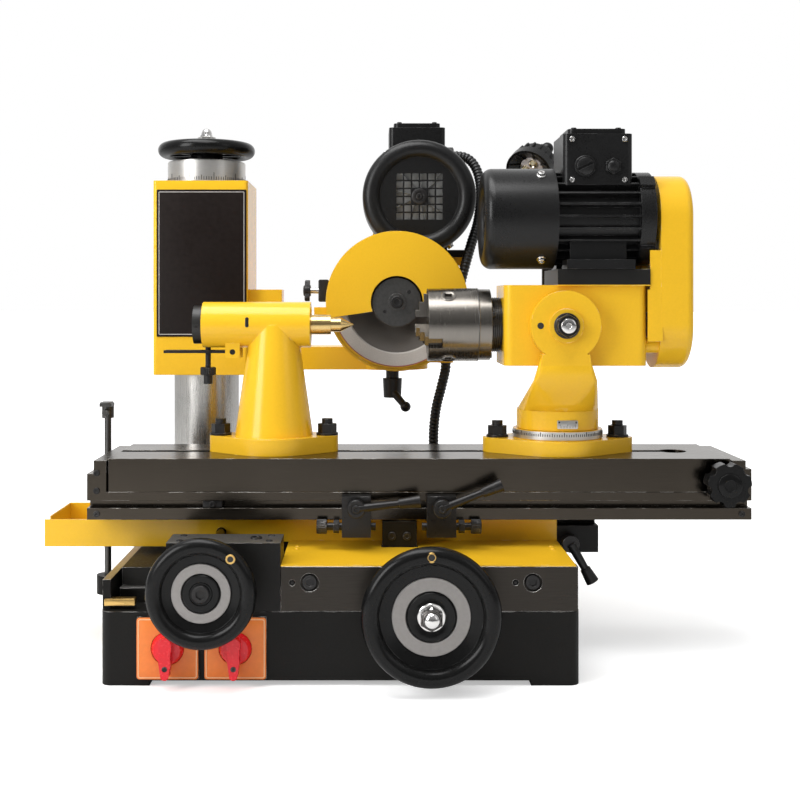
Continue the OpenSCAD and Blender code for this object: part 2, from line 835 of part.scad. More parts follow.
module lamp_arm() {
    bend_z = base_h + lamp_foot_h;
    top_z = bend_z + lamp_bend_h;
    color("#222324") {
        rod_z(18, base_h, base_h + 8, lamp_x, lamp_y);
        rod_z(12, base_h + 8, bend_z, lamp_x, lamp_y, lamp_neck_r + 1);
        translate([lamp_x + lamp_bend_r, lamp_y, bend_z])
            rotate([0, 0, 180]) neck_bend(lamp_bend_a);
        translate([lamp_x + lamp_shift - lamp_bend_r, lamp_y, top_z])
            mirror([0, 0, 1]) neck_bend(lamp_bend_a);
        translate([lamp_x + lamp_shift / 2, lamp_y, bend_z + lamp_bend_h / 2]) rotate([0, lamp_bend_a, 0])
            cylinder(r = lamp_neck_r + 1.5, h = 10, center = true);
        rod_z(lamp_neck_r, top_z, lamp_neck_top - 12, lamp_x + lamp_shift, lamp_y);
        difference() {
            rod_z(lamp_neck_r + 2.5, lamp_neck_top - 16, lamp_neck_top, lamp_x + lamp_shift, lamp_y);
            rod_z(lamp_pin_r + fit_gap, lamp_neck_top - 10, lamp_neck_top + 1, lamp_x + lamp_shift, lamp_y);
        }
    }
}

// Lamp head on its swivel pin: drum, rim and open reflector
module lamp_head() {
    at_x = lamp_x + lamp_shift;
    color("#1b1b1c") {
        rod_z(lamp_pin_r, lamp_neck_top - 9, lamp_ball_z, at_x, lamp_y);
        translate([at_x, lamp_y, lamp_ball_z]) {
            sphere(lamp_ball_r);
            rotate([0, 0, lamp_turn]) rotate([90 + lamp_tilt, 0, 0]) {
                cylinder(r = 6, h = lamp_set_back + 6);
                translate([0, 0, lamp_set_back]) rotate_extrude() polygon([
                    [0, 4], [10, 4], [13, 12], [lamp_r - 4, 26], [lamp_r - 4, 40], [lamp_r, 44],
                    [lamp_r, lamp_len + 4], [lamp_r - 3, lamp_len + 4], [14, 44], [0, 44]
                ]);
            }
        }
    }
}

// Saddle, apron and tray

module saddle() {
    color("#262729")
        difference() {
            union() {
                block(-way_out, way_out, -saddle_y, saddle_y, slab_z, guide_z);
                for (s = [-1, 1]) {
                    block(s * lip_mid - lip_w / 2, s * lip_mid + lip_w / 2, -saddle_y, saddle_y,
                        base_h + 2, slab_z + 1);
                }
                block(web_left, web_right, web_y, -saddle_y + 1, slab_z, web_top);
                block(web_left, web_right, -saddle_y, anvil_y - 1, guide_z - 1, web_top);
                block(guide_left, guide_right, guide_y0, guide_y1, guide_z - 1, rack_room_z);
                block(guide_left, guide_right, rack_room_y, guide_y1, guide_z - 1, guide_top);
                block(anvil_x - anvil_w / 2, anvil_x + anvil_w / 2, anvil_y, anvil_y + anvil_d,
                    guide_z - 1, anvil_top);
                translate([guide_left, key_y, guide_top]) rotate([90, 0, 90])
                    linear_extrude(guide_right - guide_left) key_outline(key_neck / 2, key_head / 2, key_h);
                block(gear_box_left, gear_box_right, base_y0, gear_box_y, apron_z, gear_box_top);
            }
            block(gear_box_left + gear_box_rear, gear_box_right - gear_box_rear, base_y0 + gear_box_rear,
                gear_box_y - gear_box_rear, apron_z + gear_box_wall, gear_box_top - gear_box_wall);
            rod_y(feed_shaft_r + fit_gap, base_y0 - 1, base_y0 + gear_box_rear + 1, feed_x, feed_z);
            rod_y(pinion_shaft_r + fit_gap, gear_box_y - gear_box_rear - 1, gear_box_y + 1, feed_x, pinion_z);
            rod_y(lock_pin_r + fit_gap, guide_y0 - 1, guide_y0 + 14, lock_x, lock_z);
        }
}

// Dovetail key, from just under its neck up to its head
module key_outline(neck, head, h) {
    polygon([[-neck, -1], [neck, -1], [head, h], [-head, h]]);
}

module apron() {
    color("#3a3c3f")
        difference() {
            union() {
                block(apron_left, apron_right, base_y0, web_y, apron_z, apron_top);
                rod_y(17, base_y0, web_y, cross_x, cross_z);
            }
            rod_y(cross_screw_r + fit_gap, base_y0 - 1, web_y + 1, cross_x, cross_z);
            for (x = [apron_left + 41, apron_right - 44]) {
                rod_y(9, base_y0 - 1, base_y0 + 4, x, apron_z + 28);
                rod_y(3, base_y0 - 1, base_y0 + 2, x - 17, apron_z + 28);
            }
            block(apron_left - 1, gear_box_right + slide_gap, base_y0 - 1, web_y + 1,
                apron_z - 1, apron_top + 1);
        }
}

// Bent yellow sheet: cover over the apron, wall under the table and the open tray at the left
module chip_tray() {
    right = apron_right - 2;
    top = apron_top + sheet_t;
    color("#f2b705")
        difference() {
            union() {
                block(gear_box_right + slide_gap, right, base_y0, tray_wall_y + sheet_t, apron_top, top);
                block(guide_left - 6, right, tray_wall_y, tray_wall_y + sheet_t, apron_top, tray_top);
                block(tray_left, guide_left - 5, tray_wall_y, tray_wall_y + sheet_t, tray_z, tray_top);
                block(tray_left, guide_left - 5, tray_wall_y, tray_rear_y, tray_z, tray_z + sheet_t);
                block(tray_left, guide_left - 5, tray_rear_y - sheet_t, tray_rear_y, tray_z, tray_top);
                block(tray_left, tray_left + sheet_t, tray_wall_y, tray_rear_y, tray_z, tray_top);
            }
            block(anvil_x - anvil_w / 2 - 1, anvil_x + anvil_w / 2 + 1, anvil_y - 1, anvil_y + anvil_d + 1,
                apron_top - 1, top + 1);
            rod_y(pinion_shaft_r + 1, tray_wall_y - 1, tray_wall_y + sheet_t + 1, feed_x, pinion_z);
            block(tray_left - 1, tray_left + sheet_t + 1, rack_y - 3, rack_y + rack_w + 3,
                rack_room_z, tray_top + 1);
        }
}

module saddle_lock_lever() {
    y0 = guide_y0 - slide_gap;
    color("#141415") {
        rod_y(lock_pin_r, y0 - 2, guide_y0 + 12, lock_x, lock_z);
        rod_y(9, y0 - 16, y0, lock_x, lock_z);
        translate([lock_x, y0 - 15, lock_z]) rotate([0, 150, 0]) {
            cylinder(r1 = 5, r2 = 4, h = 34);
            translate([0, 0, 30]) cylinder(r1 = 5.5, r2 = 7, h = 16);
        }
    }
}

// Handwheels, screws and gears

module cross_handwheel() {
    color("#111112")
        translate([cross_x, base_y0 - slide_gap, cross_z]) rotate([90, 0, 0])
            difference() {
                hand_wheel(cross_wheel_r, cross_rim, wheel_gap_y + cross_rim / 2, cross_hub_r, hub_len,
                    cross_screw_r - 2);
                translate([0, cross_wheel_r - cross_rim / 2, wheel_gap_y - 1])
                    cylinder(r = 4, h = cross_rim + 2);
            }
}

module cross_screw() {
    color("#b4b8bd") {
        rod_y(cross_screw_r, base_y0 - slide_gap, 60, cross_x, cross_z);
        rod_y(cross_screw_r - 2, hub_front, base_y0, cross_x, cross_z);
        rod_y(9.5, hub_front - 9, hub_front, cross_x, cross_z);
        translate([cross_x, hub_front - 9, cross_z]) sphere(8.5);
    }
}

module feed_handwheel() {
    color("#111112")
        translate([feed_x, base_y0 - slide_gap, feed_z]) rotate([90, 0, 0])
            difference() {
                hand_wheel(feed_wheel_r, feed_rim, wheel_gap_y + feed_rim / 2, feed_hub_r, hub_len,
                    feed_shaft_r - 1);
                rotate(-40) translate([0, feed_wheel_r - feed_rim / 2, wheel_gap_y - 1])
                    cylinder(r = 3.5, h = feed_rim + 2);
            }
}

module feed_shaft() {
    color("#a9adb2") {
        rod_y(feed_shaft_r, base_y0 - slide_gap, gear_y + gear_w + 4, feed_x, feed_z);
        rod_y(feed_shaft_r - 1, hub_front, base_y0, feed_x, feed_z);
        rod_y(8, hub_front - 3, hub_front, feed_x, feed_z);
        spur_gear(feed_module, drive_teeth, 0, gear_y, gear_w, feed_x, feed_z);
    }
}

module feed_pinion() {
    color("#8d9196") {
        rod_y(pinion_shaft_r, gear_y, rack_y + rack_w, feed_x, pinion_z);
        spur_gear(feed_module, driven_teeth, 180 / driven_teeth, gear_y, gear_w, feed_x, pinion_z);
        spur_gear(rack_module, pinion_teeth, 0, rack_y, rack_w, feed_x, pinion_z);
    }
}

// Table

module lower_table() {
    color("#2f3134")
        difference() {
            union() {
                block(table_left, table_right, -table_y, table_y, lower_z, lower_z + lower_h);
                block(table_left, table_left + bracket_w, -table_y, table_y, lower_z, table_top - 2);
                block(table_right - bracket_w, table_right, -table_y, table_y, lower_z, table_top - 2);
                rod_z(pivot_r, lower_z + lower_h - 1, upper_z + pivot_h, table_mid, 0);
            }
            block(table_left - 1, table_right + 1, -table_y - 1, -table_y + groove_d,
                groove_z, groove_z + groove_h);
            translate([table_left - 1, key_y, lower_z]) rotate([90, 0, 90]) linear_extrude(table_len + 2)
                key_outline(key_neck / 2 + key_gap, key_head / 2 + key_gap, key_h);
            block(table_left - 1, table_left + 7, -table_y - 1, table_y + 1, left_step_z, table_top + 1);
            block(table_right - 6, table_right + 1, -table_y - 1, table_y + 1, right_step_z, table_top + 1);
        }
}

// Toothed rack under the table, one gap above the pinion
module table_rack() {
    pitch = PI * rack_module;
    half = pitch / 4 - 0.12;
    spread = tan(20) * rack_module;
    first = ceil((rack_left + 6 - feed_x) / pitch);
    last = floor((rack_left + rack_len - 6 - feed_x) / pitch) - 1;
    tip = rack_pitch_z - rack_module;
    root = rack_pitch_z + 1.25 * rack_module;
    color("#7d8186")
        translate([0, rack_y + rack_w, 0]) rotate([90, 0, 0]) linear_extrude(rack_w) {
            translate([rack_left, root]) square([rack_len, lower_z - root]);
            for (k = [first : last]) {
                x = feed_x + (k + 0.5) * pitch;
                polygon([
                    [x - half - 1.25 * spread, root + 0.01], [x - half + spread, tip],
                    [x + half - spread, tip], [x + half + 1.25 * spread, root + 0.01]
                ]);
            }
        }
}

module upper_table() {
    color("#3b3d40")
        difference() {
            block(upper_left, upper_right, -table_y, table_y, upper_z, table_top);
            block(upper_left - 1, slot_end, -slot_neck / 2, slot_neck / 2, slot_z, table_top + 1);
            block(upper_left - 1, slot_end, -slot_head / 2, slot_head / 2, slot_z, slot_z + slot_head_h);
            rod_z(slot_entry_r, slot_z, table_top + 1, slot_end, 0);
            rod_z(pivot_r + fit_gap, upper_z - 1, upper_z + pivot_h + slide_gap, table_mid, 0);
            rod_y(5 + fit_gap, -table_y - 1, -table_y + 16, knob_x, knob_z);
        }
}

// Lobed knob at the table's right end
module star_knob() {
    color("#121213")
        difference() {
            union() {
                rod_y(5, -knob_y, -table_y + 14, knob_x, knob_z);
                rod_y(8, -knob_y, -table_y - slide_gap, knob_x, knob_z);
                rod_y(knob_r, -knob_y - 18, -knob_y, knob_x, knob_z);
            }
            for (k = [0 : 6]) {
                rotate_about(knob_x, knob_z, 360 * k / 7)
                    rod_y(5.5, -knob_y - 19, -knob_y + 1, knob_x, knob_z + knob_r + 2);
            }
        }
}

module rotate_about(x, z, turn) {
    translate([x, 0, z]) rotate([0, turn, 0]) translate([-x, 0, -z]) children();
}

// Clamp block of a table stop: tongue in the groove, stop screw with its knurled head
module dog(x, side) {
    head = x - side * (dog_w / 2 + 26);
    tail = x + side * (dog_w / 2 + 5);
    mid_y = (dog_y0 + dog_y1) / 2;
    color("#1f2022")
        difference() {
            union() {
                block(x - dog_w / 2, x + dog_w / 2, dog_y0, dog_y1, dog_low, dog_pin_z + 11);
                block(x - dog_w / 2, x + dog_w / 2, dog_y1 - 1, dog_y1 + groove_d - 2,
                    groove_z + slide_gap, groove_z + groove_h - slide_gap);
                rod_x(dog_screw_r, min(head, tail), max(head, tail), mid_y, dog_screw_z);
                rod_x(7, min(head, head + side * 10), max(head, head + side * 10), mid_y, dog_screw_z);
                translate([x - side * (dog_w / 2 + 6), mid_y, dog_screw_z]) rotate([0, 90, 0])
                    cylinder(r = 7, h = 6, center = true, $fn = 6);
            }
            rod_y(dog_pin_r + fit_gap, dog_y0 - 1, dog_y1 - 4, x, dog_pin_z);
        }
}

module dog_left() {
    dog(dog_xs[0], 1);
}

module dog_right() {
    dog(dog_xs[1], -1);
}

// Clamp lever of a table stop, leaning by its rise angle
module dog_lever(x, rise) {
    front = dog_y0 - slide_gap;
    color("#17181a") {
        rod_y(dog_pin_r, front - 1, dog_y1 - 5, x, dog_pin_z);
        rod_y(9, front - 12, front, x, dog_pin_z);
        translate([x, front - 9, dog_pin_z]) rotate([0, 90 - rise, 0]) {
            cylinder(r1 = 4.5, r2 = 3.5, h = 52);
            translate([0, 0, 44]) cylinder(r1 = 5, r2 = 6.5, h = 22);
        }
    }
}

module dog_lever_left() {
    dog_lever(dog_xs[0], 7);
}

module dog_lever_right() {
    dog_lever(dog_xs[1], 22);
}

// T-bolts with washers and nuts that hold a foot plate on the table
module hold_down(xs, plate_top) {
    color("#2b2c2e")
        for (x = xs) {
            block(x - bolt_head / 2, x + bolt_head / 2, -bolt_head / 2, bolt_head / 2,
                slot_z + 0.5, slot_z + 0.5 + bolt_head_h);
            rod_z(bolt_r, slot_z + 1, plate_top + nut_h + 8, x, 0);
            rod_z(washer_r, plate_top, plate_top + washer_h, x, 0);
            translate([x, 0, plate_top + washer_h]) cylinder(r = nut_r, h = nut_h, $fn = 6);
        }
}

// Tailstock

module tailstock_body() {
    plate_top = table_top + tail_plate_h;
    color("#f2b705")
        difference() {
            union() {
                translate([tail_x, 0, table_top]) linear_extrude(tail_plate_h)
                    boat(tail_reach, tail_belly, plate_tip);
                rod_z(43, plate_top - 1, axis_z, tail_x, 0, barrel_r + 0.5);
                rod_x(barrel_r, barrel_left, barrel_right, 0, axis_z);
                for (s = [-1, 1]) {
                    block(lever_x - 8, lever_x + 8, s * ear_y - ear_t / 2, s * ear_y + ear_t / 2,
                        lever_z - 7, axis_z - barrel_r + 6);
                }
            }
            rod_x(quill_r + fit_gap, barrel_left + barrel_wall, barrel_right + 1, 0, axis_z);
            rod_x(quill_rod_r + fit_gap, barrel_left - 1, barrel_left + barrel_wall + 1, 0, axis_z);
            rod_y(lever_pin_r + fit_gap, -lever_w, lever_w, lever_x, lever_z);
            rod_z(thumb_r + fit_gap, axis_z - barrel_r - 1, axis_z - quill_r - 2, thumb_x, 0);
            for (s = [-1, 1]) {
                rod_z(bolt_r + 0.5, table_top - 1, plate_top + 1, tail_x + s * tail_reach, 0);
            }
        }
}

module tailstock_bolts() {
    hold_down([tail_x - tail_reach, tail_x + tail_reach], table_top + tail_plate_h);
}

// Quill with its dead centre, pull rod and end ring
module tail_center() {
    color("#c3a566") {
        rod_x(quill_r, quill_left, barrel_right - 4, 0, axis_z);
        rod_x(11, barrel_right - 5, barrel_right + 22, 0, axis_z);
        rod_x(cone_r, barrel_right + 21, center_tip_x - cone_len, 0, axis_z);
        rod_x(cone_r, center_tip_x - cone_len, center_tip_x, 0, axis_z, 0.3);
        rod_x(quill_rod_r, barrel_left - 6, quill_left + 1, 0, axis_z);
        rod_x(21, barrel_left - 10, barrel_left - slide_gap, 0, axis_z);
    }
}

// Return spring around the pull rod
module quill_spring() {
    color("#9a9da1")
        difference() {
            rod_x(quill_r - 0.8, barrel_left + barrel_wall, quill_left, 0, axis_z);
            rod_x(quill_rod_r + 1, barrel_left + barrel_wall - 1, quill_left + 1, 0, axis_z);
        }
}

module quill_lever() {
    color("#19191a")
        difference() {
            union() {
                rod_y(lever_pin_r, -lever_w / 2 - 5, lever_w / 2 + 5, lever_x, lever_z);
                rod_y(lever_pin_r + 1.2, -lever_w / 2 + slide_gap, lever_w / 2 - slide_gap, lever_x, lever_z);
                block(lever_x - lever_len, lever_x, -lever_w / 2 + slide_gap, lever_w / 2 - slide_gap,
                    lever_z - lever_t / 2, lever_z + lever_t / 2);
            }
            block(thumb_x - 8, thumb_x + 8, -6, 6, lever_z - 6, lever_z + 4);
        }
}

module tail_screw() {
    top = axis_z - barrel_r;
    color("#161617") {
        rod_z(thumb_r, top - 32, top + 4, thumb_x, 0);
        rod_z(8, top - 30, top - 22, thumb_x, 0);
        rod_z(5, top - 40, top - 30, thumb_x, 0);
    }
}

// Workhead

module work_base() {
    plate_top = table_top + work_plate_h;
    color("#f2b705")
        difference() {
            union() {
                translate([work_x, 0, table_top]) linear_extrude(work_plate_h)
                    boat(work_reach, work_belly, work_tip);
                rod_z(ring_r, plate_top - 1, plate_top + ring_h, work_x, 0);
                rod_z(post_pin_r, plate_top, post_z + 14, work_x, 0);
            }
            for (s = [-1, 1]) {
                rod_z(bolt_r + 0.5, table_top - 1, plate_top + 1, work_x + s * work_reach, 0);
            }
        }
}

module work_bolts() {
    hold_down([work_x - work_reach, work_x + work_reach], table_top + work_plate_h);
}

// Post with a collar on the degree ring, leaning forward into the pivot boss
module work_post() {
    loft_z = post_z + collar_h;
    plate_z = loft_z + 34;
    color("#f2b705")
        difference() {
            union() {
                rod_z(collar_r, post_z, loft_z + 1, work_x, 0);
                hull() {
                    translate([work_x, 0, loft_z]) cylinder(r = collar_r - 2, h = 1, $fn = 32);
                    translate([work_x - 29, boss_y, plate_z]) cube([58, boss_t, 1]);
                }
                hull() {
                    translate([work_x - 29, boss_y, plate_z]) cube([58, boss_t, 1]);
                    translate([work_x - 25, boss_y, axis_z - boss_r + 6]) cube([50, boss_t, 1]);
                }
                rod_y(boss_r, boss_y, boss_y + boss_t, work_x, axis_z);
                rod_y(18, boss_y - 3, boss_y + 1, work_x, axis_z);
            }
            rod_z(post_pin_r + fit_gap, post_z - 1, post_z + 15, work_x, 0);
            rod_y(stud_r + fit_gap, boss_y - 4, boss_y + boss_t + 1, work_x, axis_z);
        }
}

// Headstock body with the pivot stud and the seat of the motor plate
module head_body() {
    color("#f2b705")
        difference() {
            union() {
                translate([head_x, 0, head_z]) linear_extrude(head_h) round_rect(head_len, head_d, 9);
                rod_y(stud_r, boss_y - 16, -head_d / 2 + 1, work_x, axis_z);
                block(head_right - 96, head_right + 2, -head_d / 2 - 4, head_d / 2 + 4,
                    head_top - 1, motor_plate_top);
            }
            rod_x(work_spindle_r + fit_gap, head_left - 1, head_right + 1, 0, axis_z);
        }
}

module work_motor() {
    color("#161617")
        translate([work_motor_x0, 0, work_motor_z])
            motor_casing(work_cowl_r, work_cowl_len, work_body_len, work_shield,
                work_motor_z - motor_plate_top, [74, 76, 28], 9, work_shaft_r, work_rotor_r);
}

module work_belt_guard() {
    depth = belt_guard_x1 - belt_guard_x0;
    color("#f2b705")
        difference() {
            union() {
                translate([belt_guard_x0, 0, axis_z]) rotate([0, 0, 90]) rotate([90, 0, 0]) rotate(90)
                    pulley_cover(work_motor_rise, belt_guard_r, depth, 8);
                for (s = [-1, 1]) {
                    rod_x(8, head_right, belt_guard_x0 + 1, s * 30, axis_z - 22);
                }
            }
            translate([belt_guard_x0 + 3, 0, axis_z]) rotate([0, 0, 90]) rotate([90, 0, 0]) rotate(90)
                pulley_cover(work_motor_rise, belt_guard_r - 2.5, depth - 5.5, 6);
            rod_x(work_spindle_r, belt_guard_x0 - 1, belt_guard_x0 + 4, 0, axis_z);
            rod_x(16, belt_guard_x0 - 1, belt_guard_x0 + 4, 0, work_motor_z);
            rod_x(spindle_bore_r + 1, belt_guard_x1 - 4, belt_guard_x1 + 1, 0, axis_z);
        }
}

module work_belt() {
    color("#1d1d1e")
        translate([pulley_x + belt_side, 0, axis_z]) rotate([0, 0, 90]) rotate([90, 0, 0]) rotate(90)
            belt_loop(work_motor_rise, work_pulley_r, work_motor_pulley_r);
}

module chuck() {
    color("#c2c6ca")
        difference() {
            union() {
                rod_x(chuck_r, chuck_left, chuck_right - chuck_plate - 1, 0, axis_z);
                rod_x(chuck_r - 1, chuck_right - chuck_plate - 1.5, chuck_right, 0, axis_z);
            }
            rod_x(chuck_bore_r, chuck_left - 1, chuck_right + 1, 0, axis_z);
            for (k = [0 : 2]) {
                turn_about_axis(120 * k)
                    block(chuck_left - 1, chuck_left + jaw_depth, -jaw_w / 2, jaw_w / 2,
                        axis_z, axis_z + chuck_r + 1);
                turn_about_axis(120 * k + 37)
                    rod_z(7, axis_z + chuck_r - 14, axis_z + chuck_r + 1, chuck_left + 22, 0);
            }
        }
}

module turn_about_axis(turn) {
    translate([0, 0, axis_z]) rotate([turn, 0, 0]) translate([0, 0, -axis_z]) children();
}

// Stepped jaw in its radial slot
module chuck_jaw(k) {
    half = jaw_w / 2 - slide_gap;
    back = chuck_left + jaw_depth - slide_gap;
    color("#d0d3d6")
        turn_about_axis(120 * k)
            translate([0, half, axis_z]) rotate([90, 0, 0]) linear_extrude(2 * half) polygon([
                [back, jaw_r0], [chuck_left - jaw_out, jaw_r0],
                [chuck_left - jaw_out, 16], [chuck_left - 9, 16],
                [chuck_left - 9, 25], [chuck_left - 4, 25],
                [chuck_left - 4, jaw_r1], [back, jaw_r1]
            ]);
}

module chuck_jaw_1() {
    chuck_jaw(0);
}

module chuck_jaw_2() {
    chuck_jaw(1);
}

module chuck_jaw_3() {
    chuck_jaw(2);
}

// Hollow spindle with its nose flange and driven pulley
module work_spindle() {
    color("#8f9398")
        difference() {
            union() {
                rod_x(nose_r, chuck_right, head_left - slide_gap, 0, axis_z);
                rod_x(work_spindle_r, head_left - 1, head_right + 2, 0, axis_z);
                rod_x(14, head_right + 1, pulley_x + pulley_w + 4, 0, axis_z);
                translate([pulley_x, 0, axis_z]) sheave(work_pulley_r, 14);
            }
            rod_x(spindle_bore_r, chuck_right - 1, pulley_x + pulley_w + 5, 0, axis_z);
        }
}

module work_rotor() {
    color("#6f7378")
        translate([work_motor_x0, 0, work_motor_z])
            motor_rotor(work_cowl_r - 12, 40, work_cowl_len + 14, work_cowl_len + work_body_len - 8,
                work_rotor_r, work_shaft_r, pulley_x - work_motor_x0, work_motor_pulley_r);
}

// Column sleeve, lift and box

module column_sleeve() {
    color("#b9bdc1")
        difference() {
            union() {
                rod_z(sleeve_r, box_z, box_top, column_x, column_y);
                rod_z(dial_r, box_top - 1, box_top + dial_h, column_x, column_y);
            }
            rod_z(column_r + fit_gap, box_z - 1, box_top - cap_t, column_x, column_y);
            rod_z(lift_screw_r + fit_gap, box_z, box_top + dial_h + 1, column_x, column_y);
        }
}

module lift_handwheel() {
    color("#131314")
        translate([column_x, column_y, lift_hub_z])
            difference() {
                union() {
                    hand_wheel(lift_wheel_r, lift_rim - 4, 15, 20, 24, lift_screw_r - 2);
                    for (k = [0 : 7]) {
                        rotate(45 * k) block(18, lift_wheel_r - 12, -2, 2, 8, 15);
                    }
                }
                rotate(140) translate([lift_wheel_r - 9, 0, -1]) cylinder(r = 4, h = 40);
            }
}

module lift_screw() {
    top = lift_hub_z + 24;
    color("#b4b8bd") {
        rod_z(lift_screw_r, column_z + 100, lift_hub_z, column_x, column_y);
        rod_z(lift_screw_r - 2, lift_hub_z - 1, top + 1, column_x, column_y);
        translate([column_x, column_y, top]) cylinder(r = 11, h = 8, $fn = 6);
        translate([column_x, column_y, top + 6]) sphere(7.5);
    }
}

module sleeve_box() {
    color("#f2b705")
        difference() {
            translate([column_x, column_y, box_z]) linear_extrude(box_h) round_rect(box_w, box_w, 4);
            rod_z(sleeve_r + slide_gap, box_z - 1, box_top + 1, column_x, column_y);
        }
}

// Arm from the box to the wheelhead's pivot, with the conduit's clip
module arm() {
    color("#f2b705")
        difference() {
            union() {
                block(arm_left, pivot_x, arm_y0, arm_y1, arm_z, arm_top);
                rod_z(arm_right - pivot_x, arm_z, arm_top, pivot_x, column_y);
                block(arm_left, arm_left + 14, arm_y0 - 12, arm_y1 + 12, arm_z, arm_top + 70);
                block(arm_left, arm_left + 40, arm_y0 - 12, arm_y0 + 22, arm_top + 54, arm_top + 70);
                block(pivot_x, clip_at[0], clip_at[1], clip_at[1] + 12, clip_at[2] - 6, clip_at[2] + 6);
                rod_z(hose_r + 3, clip_at[2] - 6, clip_at[2] + 6, clip_at[0], clip_at[1]);
            }
            rod_z(pivot_pin_r + fit_gap, arm_z - 1, arm_top + 1, pivot_x, column_y);
            rod_z(hose_r + slide_gap, clip_at[2] - 7, clip_at[2] + 7, clip_at[0], clip_at[1]);
        }
}

module arm_clamp_lever() {
    top = arm_z - slide_gap;
    color("#151516") {
        rod_z(8, top - 13, top, pivot_x, column_y);
        rod_z(11, top - 36, top - 12, pivot_x, column_y, 12);
        translate([pivot_x, column_y - 6, top - 28]) rotate([0, 135, -30]) {
            cylinder(r1 = 5, r2 = 4, h = clamp_arm_len);
            translate([0, 0, clamp_arm_len - 4]) sphere(6.5);
        }
    }
}

// Wheelhead

module spindle_housing() {
    foot_z = arm_top + slide_gap;
    color("#f2b705")
        difference() {
            union() {
                rod_y(housing_r, housing_y0, housing_y1, wheel_x, wheel_z);
                rod_z(40, foot_z, foot_z + 22, pivot_x, column_y);
                block(wheel_x - 30, wheel_x + 30, column_y - 34, column_y + 34, foot_z + 10, wheel_z);
                block(wheel_x - 22, wheel_x + 34, column_y - 30, column_y + 60, wheel_z, motor_seat_z - 9);
                block(wheel_motor_x - 56, wheel_motor_x + 56, column_y - 26, column_y + 72,
                    motor_seat_z - 10, motor_seat_z);
                rod_z(pivot_pin_r, arm_z - slide_gap + 0.5, foot_z + 1, pivot_x, column_y);
            }
            rod_y(wheel_spindle_r + fit_gap, housing_y0 - 1, housing_y1 + 1, wheel_x, wheel_z);
        }
}

// Drum guard: front plate over the upper half, open below, with the clamp lug at its left
module wheel_guard() {
    drop = 14;
    color("#f2b705")
        difference() {
            union() {
                rod_y(guard_r, guard_y, guard_back, wheel_x, wheel_z);
                block(wheel_x - guard_r - 14, wheel_x - guard_r + 12, guard_y + 12, guard_back,
                    wheel_z - 22, wheel_z - 6);
                rod_y(24, guard_back - 1, housing_y0, wheel_x, wheel_z);
            }
            rod_y(guard_r - 3, guard_y + 2.5, guard_back - 3, wheel_x, wheel_z);
            rod_y(30, guard_y - 1, guard_y + 4, wheel_x, wheel_z);
            rod_y(wheel_spindle_r + 3, guard_back - 4, housing_y0 + 1, wheel_x, wheel_z);
            translate([wheel_x, guard_y - 1, wheel_z]) rotate([90, 0, 0]) translate([0, 0, -guard_d + 3])
                linear_extrude(guard_d - 2) polygon([
                    [-guard_r - 20, -22], [-28, -11], [0, -drop], [28, -11], [guard_r + 20, -22],
                    [guard_r + 20, -guard_r - 20], [-guard_r - 20, -guard_r - 20]
                ]);
        }
}

// Wheel motor with the conduit's gland at the side of its terminal box
module wheel_motor() {
    color("#161617")
        difference() {
            union() {
                translate([wheel_motor_x, wheel_motor_y0, wheel_motor_z]) rotate([0, 0, 90])
                    motor_casing(wheel_cowl_r, wheel_cowl_len, wheel_body_len, wheel_shield, wheel_motor_foot,
                        [72, 70, 18], 9.5, wheel_shaft_r, wheel_rotor_r);
                rod_x(gland_r, wheel_motor_x + 20, gland_x, gland_y, gland_z);
            }
            rod_x(hose_r + slide_gap, gland_x - gland_depth, gland_x + 1, gland_y, gland_z);
        }
}

module wheel_belt_cover() {
    color("#f2b705")
        difference() {
            translate([wheel_x, cover_y0, wheel_z]) rotate([-90, 0, 0]) rotate(-belt_lean)
                pulley_cover(belt_run, cover_r, cover_d, 12);
            translate([wheel_x, cover_y0 + 3, wheel_z]) rotate([-90, 0, 0]) rotate(-belt_lean)
                pulley_cover(belt_run, cover_r - 2.5, cover_d - 5.5, 10);
            rod_y(wheel_spindle_r + 2, cover_y0 - 1, cover_y0 + 4, wheel_x, wheel_z);
            rod_y(16, cover_y0 - 1, cover_y0 + 4, wheel_motor_x, wheel_motor_z);
        }
}

module wheel_belt() {
    color("#1d1d1e")
        translate([wheel_x, wheel_pulley_y + belt_side, wheel_z]) rotate([-90, 0, 0]) rotate(-belt_lean)
            belt_loop(belt_run, wheel_pulley_r, wheel_motor_pulley_r);
}

// Spindle with the wheel flange, its nut and the driven pulley
module wheel_spindle() {
    color("#2a2b2d") {
        rod_y(wheel_spindle_r, housing_y0 - 4, housing_y1 + 2, wheel_x, wheel_z);
        rod_y(10, wheel_front - 4, housing_y0, wheel_x, wheel_z);
        rod_y(28, wheel_front - 1, wheel_front + wheel_w - 5, wheel_x, wheel_z, 20);
        rod_y(12, housing_y1 + 1, wheel_pulley_y + pulley_w, wheel_x, wheel_z);
        rod_y(22, wheel_front + wheel_w, guard_back - 4, wheel_x, wheel_z);
        translate([wheel_x, wheel_pulley_y, wheel_z]) rotate([0, 0, 90]) sheave(wheel_pulley_r, 12);
    }
}

// Dish wheel: thin bright rim at the front, sloping face, thick back around the bore
module grinding_wheel() {
    color("#6d5f58")
        translate([wheel_x, wheel_front, wheel_z]) rotate([-90, 0, 0]) rotate_extrude($fn = 96) polygon([
            [10.2, wheel_w - 5], [30, wheel_w - 5], [wheel_r - 17, 3], [wheel_r - 15, 0], [wheel_r, 0],
            [wheel_r, 5], [wheel_r - 8, 10], [40, wheel_w], [10.2, wheel_w]
        ]);
}

module wheel_rotor() {
    color("#6f7378")
        translate([wheel_motor_x, wheel_motor_y0, wheel_motor_z]) rotate([0, 0, 90])
            motor_rotor(wheel_cowl_r - 14, 30, wheel_cowl_len + 14, wheel_cowl_len + wheel_body_len - 8,
                wheel_rotor_r, wheel_shaft_r, wheel_pulley_y - wheel_motor_y0, wheel_motor_pulley_r);
}

